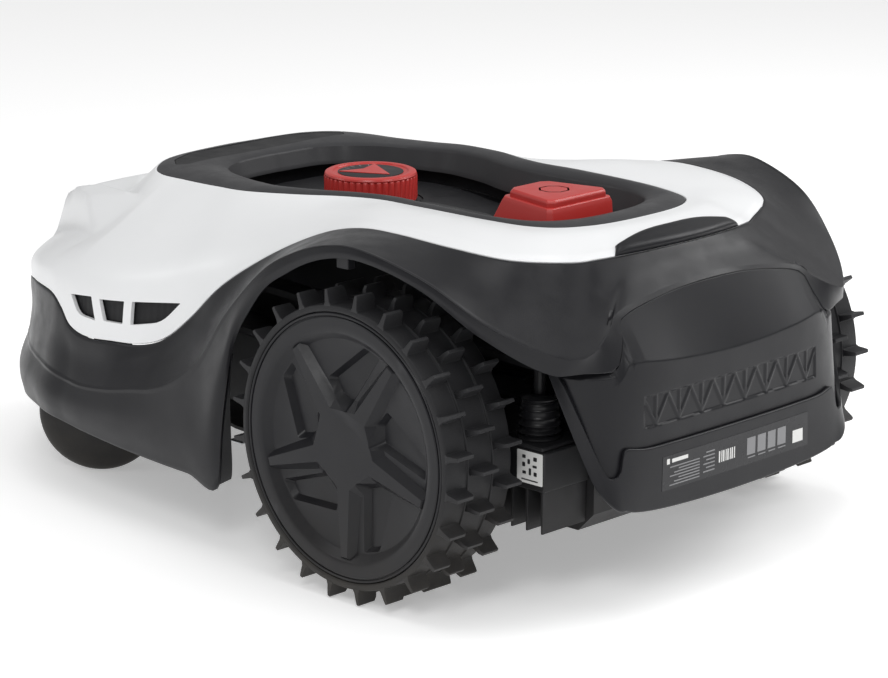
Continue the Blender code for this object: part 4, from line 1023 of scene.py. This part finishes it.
# ---------------------------------------------------------------- wheels
def drive_tyre(word, side):
    """Tyre with staggered rows of thin paddle lugs and fine ribs between the rows."""
    bead, tread = WHEEL_R - 0.0156, WHEEL_R - 0.0105
    lugs = 24

    def at(depth):
        """Place along the axle, at a depth behind the outer face."""
        return side * (TYRE_HIGH.y - depth)

    profile = [(bead, at(.004)), (bead, at(.0012)), (bead + .0006, at(.0004)), (bead + .0012, at(0.0)),
               (tread - .0016, at(0.0)), (tread - .0005, at(.0004)), (tread, at(.0016))]
    for rib in (.0185, .0420):
        profile += [(tread, at(rib)), (tread + .0012, at(rib + .0005)), (tread + .0012, at(rib + .0015)),
                    (tread, at(rib + .0020))]
    profile += [(tread, at(TYRE_W - .0016)), (tread - .0016, at(TYRE_W)), (bead, at(TYRE_W)),
                (bead, at(TYRE_W - .004))]
    bm = lathe(profile, AXLE, "Y", 144)
    turn = 0.0 if side > 0 else 0.33
    for start, end, phase in ((0.0, .0180, 0.5), (.0215, .0410, 0.0), (.0450, TYRE_W, 0.5)):
        for k in range(lugs):
            a = 2 * math.pi * (k + phase + turn) / lugs
            paddle(bm, a, at(start), at(end), tread - .0012, start == 0.0, end == TYRE_W)
    piece(f"tyre_tread_{word}", bm, "tyre_rubber", f"wheel_{word}", [f"tyre_{word}"], smooth=30,
          bevel=0.0004, segments=1)


def paddle(bm, angle, y0, y1, root, flush_start, flush_end):
    """One lug: a thin blade across the tread, flared at its root and chamfered at its free ends."""
    radial = Vector((math.cos(angle), 0, math.sin(angle)))
    along = Vector((-math.sin(angle), 0, math.cos(angle)))
    inwards = math.copysign(1.0, y1 - y0)
    # (radius, half thickness, how far a free end is pulled in)
    rise = [(root, .0036, 0.0), (root + .0028, .0022, .0002), (WHEEL_R - .0028, .0016, .0008),
            (WHEEL_R, .0013, .0024)]
    rings = []
    for r, half, pull in rise:
        a = y0 + inwards * pull * (0.15 if flush_start else 1.0)
        b = y1 - inwards * pull * (0.15 if flush_end else 1.0)
        ring = []
        for t, y in ((-half, a), (half, a), (half, b), (-half, b)):
            p = Vector(AXLE) + radial * r + along * t
            ring.append((p.x, y, p.z))
        rings.append(ring)
    loft(rings, bm)


def star_hub(word, side):
    """Hub cap: sunk dish, five-armed star with sloping facets, and an offset pocket in each gap."""
    outer = 0.0931
    arms = [53.5 + 72 * k for k in range(5)]

    def at(depth):
        """Place along the axle, at a depth behind the cap's face."""
        return side * (TYRE_HIGH.y - 0.0006 - depth)

    def placed(points, depth):
        """Flat points about the axle, at a depth behind the cap's face."""
        return [(WHEEL.x + x, at(depth), WHEEL.z + z) for x, z in points]

    profile = [(0, at(.0060)), (.0735, at(.0060)), (.0748, at(.0055)), (.0790, at(.0012)),
               (.0802, at(.0006)), (.0818, at(.0003)), (.0832, at(.0001)), (.0846, at(0)),
               (.0893, at(0)), (.0901, at(.0004)), (.0904, at(.0014)), (.0909, at(.0014)),
               (.0912, at(.0004)), (.0918, at(0)), (outer - .0006, at(0)), (outer, at(.0006)),
               (outer, at(.0118)), (0, at(.0118))]
    cap = piece(f"hub_star_{word}", lathe(profile, AXLE, "Y", 144), "wheel_plastic", f"wheel_{word}",
                [f"hub_cap_{word}"], smooth=30)
    crest = [(.0280, -.0058), (.0768, -.0028), (.0768, .0028), (.0280, .0058)]
    slope = [(.0332, -.0118), (.0802, -.0064), (.0802, .0064), (.0332, .0118)]
    top, foot = ([p for arm in arms for p in turned(outline, arm)] for outline in (crest, slope))
    carve(cap, "star_tool", loft([placed(top, .0004), placed(foot, .0062), placed(foot, .0080)]), "UNION")
    # corners of a pocket's floor: (radius, degrees from the arm)
    floor = [(.0700, -14), (.0705, -22), (.0470, -54), (.0365, -50), (.0318, -33)]
    bm = bmesh.new()
    for arm in arms:
        flat = [turned([(r, 0)], arm + degrees)[0] for r, degrees in floor]
        loft([placed(rounded(spread(flat, grow), .0024, 3), depth)
              for grow, depth in ((.0058, .0002), (.0030, .0060), (0, .0106))], bm)
    carve(cap, "pocket_tool", bm, smooth=25)
    soften(cap, 0.0004, 2, 25)


def spread(outline, distance):
    """A convex polygon with every side moved outwards."""
    middle = np.mean(outline, axis=0)
    count = len(outline)
    sides = []
    for i in range(count):
        a, b = np.array(outline[i]), np.array(outline[(i + 1) % count])
        along = (b - a) / np.linalg.norm(b - a)
        out = np.array([along[1], -along[0]])
        if np.dot(out, (a + b) / 2 - middle) < 0:
            out = -out
        sides.append((a + out * distance, along))
    corners = []
    for i in range(count):
        (p, d), (q, e) = sides[i - 1], sides[i]
        t = np.linalg.solve(np.array([d, -e]).T, q - p)[0]
        corners.append(tuple(p + d * t))
    return corners


def caster_wheels():
    """Smooth domed caster wheels."""
    half, corner = 0.0190, 0.0170
    for joint in frame["joints"]:
        if not joint["name"].endswith("_roll"):
            continue
        word = "left" if "left" in joint["name"] else "right"
        hub = Vector(joint["pos_m"])
        r = hub.z
        profile = [(.0032, -half), (.010, -half), (.0115, -half + .0006), (.024, -half + .0010)]
        for k in range(9):
            a = math.radians(90 * k / 8)
            profile.append((r - corner + corner * math.sin(a),
                            -half + .0024 + (half - .0104) * (1 - math.cos(a))))
        far_side = [(a, -b) for a, b in profile[::-1]]
        bm = lathe(profile + [(r, 0)] + far_side, (0, 0, 0), "Y", 96)
        turn = Vector((0, 1, 0)).rotation_difference(Vector(joint["axis"])).to_matrix().to_4x4()
        bm.transform(Matrix.Translation(hub) @ turn)
        piece(f"caster_tyre_{word}", bm, "caster_plastic", f"caster_wheel_{word}",
              [f"caster_wheel_{word}"], smooth=40)


# ---------------------------------------------------------------- boots and blocks
def boot(end, word):
    """Corrugated rubber boot, standing between the chassis below and the floating frame above."""
    low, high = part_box(f"{end}_boot_{word}")
    x, y = (low.x + high.x) / 2, (low.y + high.y) / 2
    folds = 5
    start = low.z + .002
    pitch = (high.z - low.z - .004) / folds
    profile = [(.0118, low.z), (.0154, low.z), (.0154, low.z + .0014), (.0140, start)]
    for k in range(folds):
        wide = .0153 - .0006 * k
        fold = ((.12, .0132), (.35, wide - .0006), (.5, wide), (.65, wide - .0006), (.9, .0130))
        profile += [(r, start + (k + share) * pitch) for share, r in fold]
    profile += [(.0112, high.z - .0012), (.0100, high.z), (.0062, high.z), (.0062, high.z - .0015),
                (.0108, high.z - .004), (.0112, start)]
    bellows = piece(f"{end}_bellows_{word}", lathe(profile, (x, y, 0), "Z", 56), "boot_rubber", None,
                    [f"{end}_boot_{word}"], smooth=50)
    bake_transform(bellows)


def fin_block(word, side):
    """Block under a rear boot: stepped collar, rounded body and long drain fins."""
    low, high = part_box(f"float_block_{word}")
    bm = block((low.x, low.y, low.z + .030), (high.x, high.y, high.z - .0030))
    block((low.x + .002, low.y + .0004, high.z - .0032), (high.x - .002, high.y - .0004, high.z), bm)
    piece(f"fin_block_{word}", bm, "black_trim", "chassis", [f"float_block_{word}"], bevel=0.0016,
          segments=3)
    fins, edge = 4, .003
    root, tip = low.z + .031, low.z + .0006
    bm = bmesh.new()
    for k in range(fins):
        x = high.x - edge - k * (high.x - low.x - 2 * edge) / (fins - 1)
        outline = [(x - .0012, root), (x + .0012, root), (x + .0008, tip), (x - .0008, tip)]
        prism(outline, low.y + .001, high.y - .001, "Y", bm)
    piece(f"drain_fins_{word}", bm, "black_trim", "chassis", bevel=0.0004)
    block_plate(word, side, low, high)


def block_plate(word, side, low, high):
    """Pale plate on the outer face of a block, with nine plain dark marks."""
    face = high.y if side > 0 else low.y
    x0, x1 = low.x + .0015, low.x + .0245
    z0, z1 = high.z - .0265, high.z - .0042
    depth = sorted((face - side * .0006, face + side * .0002))
    piece(f"block_plate_{word}", prism(rounded(oblong(x0, x1, z0, z1), .001), *depth, "Y"), "keypad_gloss",
          "chassis", mat="plate_pale")
    # left, bottom, right and top of each mark, from the plate's lower corner
    marks = [(.0050, .0060, .0078, .0088), (.0102, .0060, .0122, .0108), (.0148, .0062, .0180, .0082),
             (.0050, .0118, .0088, .0134), (.0112, .0136, .0134, .0170), (.0156, .0112, .0182, .0142),
             (.0050, .0164, .0082, .0192), (.0152, .0170, .0182, .0194), (.0040, .0020, .0190, .0028)]
    depth = sorted((face, face + side * .0004))
    bm = bmesh.new()
    for a, b, c, d in marks:
        prism(rounded(oblong(x0 + a, x0 + c, z0 + b, z0 + d), .0006), *depth, "Y", bm)
    piece(f"block_plate_print_{word}", bm, "keypad_gloss", "chassis", mat="ink_dark")


# ---------------------------------------------------------------- what stays as packed
# bevel on the CAD nodes whose names start so
SOFTENED = {"chassis_tub": .0020, "chassis_lid": .0010, "float_frame": .0010, "drive_gearbox": .0015,
            "battery_pack": .0015, "main_board": .0004, "battery_hatch": .0006, "charging_socket": .0005,
            "lid_screw": .0004, "wheel_rim": .0010, "caster_fork": .0006, "blade_motor": .0010,
            "motor_carriage": .0008, "blade_disc": .0004, "cutting_blade": .0001}


def dress_frame():
    """Give every CAD node its slot's finish, and round the edges of those that stay in view."""
    for entry in frame["record"]["subparts"]:
        thing = frame["nodes"][entry["node"]]
        thing.data.materials.clear()
        thing.data.materials.append(MATERIALS[entry["material_slot"]])
        for start, width in SOFTENED.items():
            if entry["node"].startswith(start):
                soften(thing, width)


# ---------------------------------------------------------------- stage, light and camera
def studio_floor():
    """Pale floor, faintly lit from within so that it runs into the backdrop."""
    mat = bpy.data.materials.new("studio_floor")
    mat.use_nodes = True
    tree = mat.node_tree
    shader = tree.nodes["Principled BSDF"]
    cloud = node(tree, "ShaderNodeTexNoise", Scale=3.0, Detail=2.0)
    tree.links.new(remap(tree, cloud.outputs["Fac"], 0.0, 1.0, 0.93, 0.97), shader.inputs["Base Color"])
    shader.inputs["Roughness"].default_value = 0.9
    shader.inputs["Emission Color"].default_value = (1.0, 1.0, 1.0, 1.0)
    shader.inputs["Emission Strength"].default_value = 0.34
    bm = bmesh.new()
    bmesh.ops.create_grid(bm, x_segments=8, y_segments=8, size=20.0)
    mesh = bpy.data.meshes.new("studio_floor")
    bm.to_mesh(mesh)
    bm.free()
    mesh.materials.append(mat)
    floor = bpy.data.objects.new("studio_floor", mesh)
    bpy.context.collection.objects.link(floor)


def lights():
    """Even backdrop light, and soft boxes that all face the mower."""
    world = bpy.data.worlds.new("studio_world")
    bpy.context.scene.world = world
    world.use_nodes = True
    background = world.node_tree.nodes["Background"]
    background.inputs["Color"].default_value = (1.0, 1.0, 1.0, 1.0)
    background.inputs["Strength"].default_value = 0.40
    target = Vector((0, 0, 0.12))
    # (name, place, watts, width)
    lamps = [("key_light", (-1.6, 2.2, 2.4), 23.0, 1.0), ("top_light", (-0.1, 0.2, 2.6), 16.0, 1.6),
             ("tail_light", (-2.4, -0.2, 2.0), 10.0, 0.9), ("nose_light", (1.9, 2.2, 1.6), 8.0, 1.2),
             ("rim_light", (-0.75, -1.35, 1.35), 14.0, 1.1)]
    for name, place, power, size in lamps:
        data = bpy.data.lights.new(name, "AREA")
        data.energy = power
        data.size = size
        lamp = bpy.data.objects.new(name, data)
        lamp.location = place
        lamp.rotation_euler = (target - Vector(place)).to_track_quat("-Z", "Y").to_euler()
        bpy.context.collection.objects.link(lamp)


def main_camera():
    """The photograph's camera: a long lens behind and to the left of the mower."""
    data = bpy.data.cameras.new("camera")
    data.lens = 132.83
    data.sensor_width = 36.0
    camera = bpy.data.objects.new("camera", data)
    camera.location = (-1.6887, 1.6848, 0.738)
    yaw, pitch = math.radians(-45.827), math.radians(-14.68)
    look = Vector((math.cos(yaw) * math.cos(pitch), math.sin(yaw) * math.cos(pitch), math.sin(pitch)))
    camera.rotation_euler = look.to_track_quat("-Z", "Y").to_euler()
    bpy.context.collection.objects.link(camera)
    bpy.context.scene.camera = camera
    bpy.context.scene.view_settings.view_transform = "Standard"


dress_frame()
for make in (upper_shell, lower_skirt, arch_returns, deck_frame, deck_inlay, vent_screens, nose_housing,
             nose_lens, tail_cover, tail_bumper, marking_plate, rear_pad, console, console_apron, keypad,
             knob, knob_face, stop_switch):
    make()
for word, side in SIDES:
    drive_tyre(word, side)
    star_hub(word, side)
caster_wheels()
for end in ("rear", "front"):
    for word, side in SIDES:
        boot(end, word)
for word, side in SIDES:
    fin_block(word, side)
for make in (studio_floor, lights, main_camera):
    make()
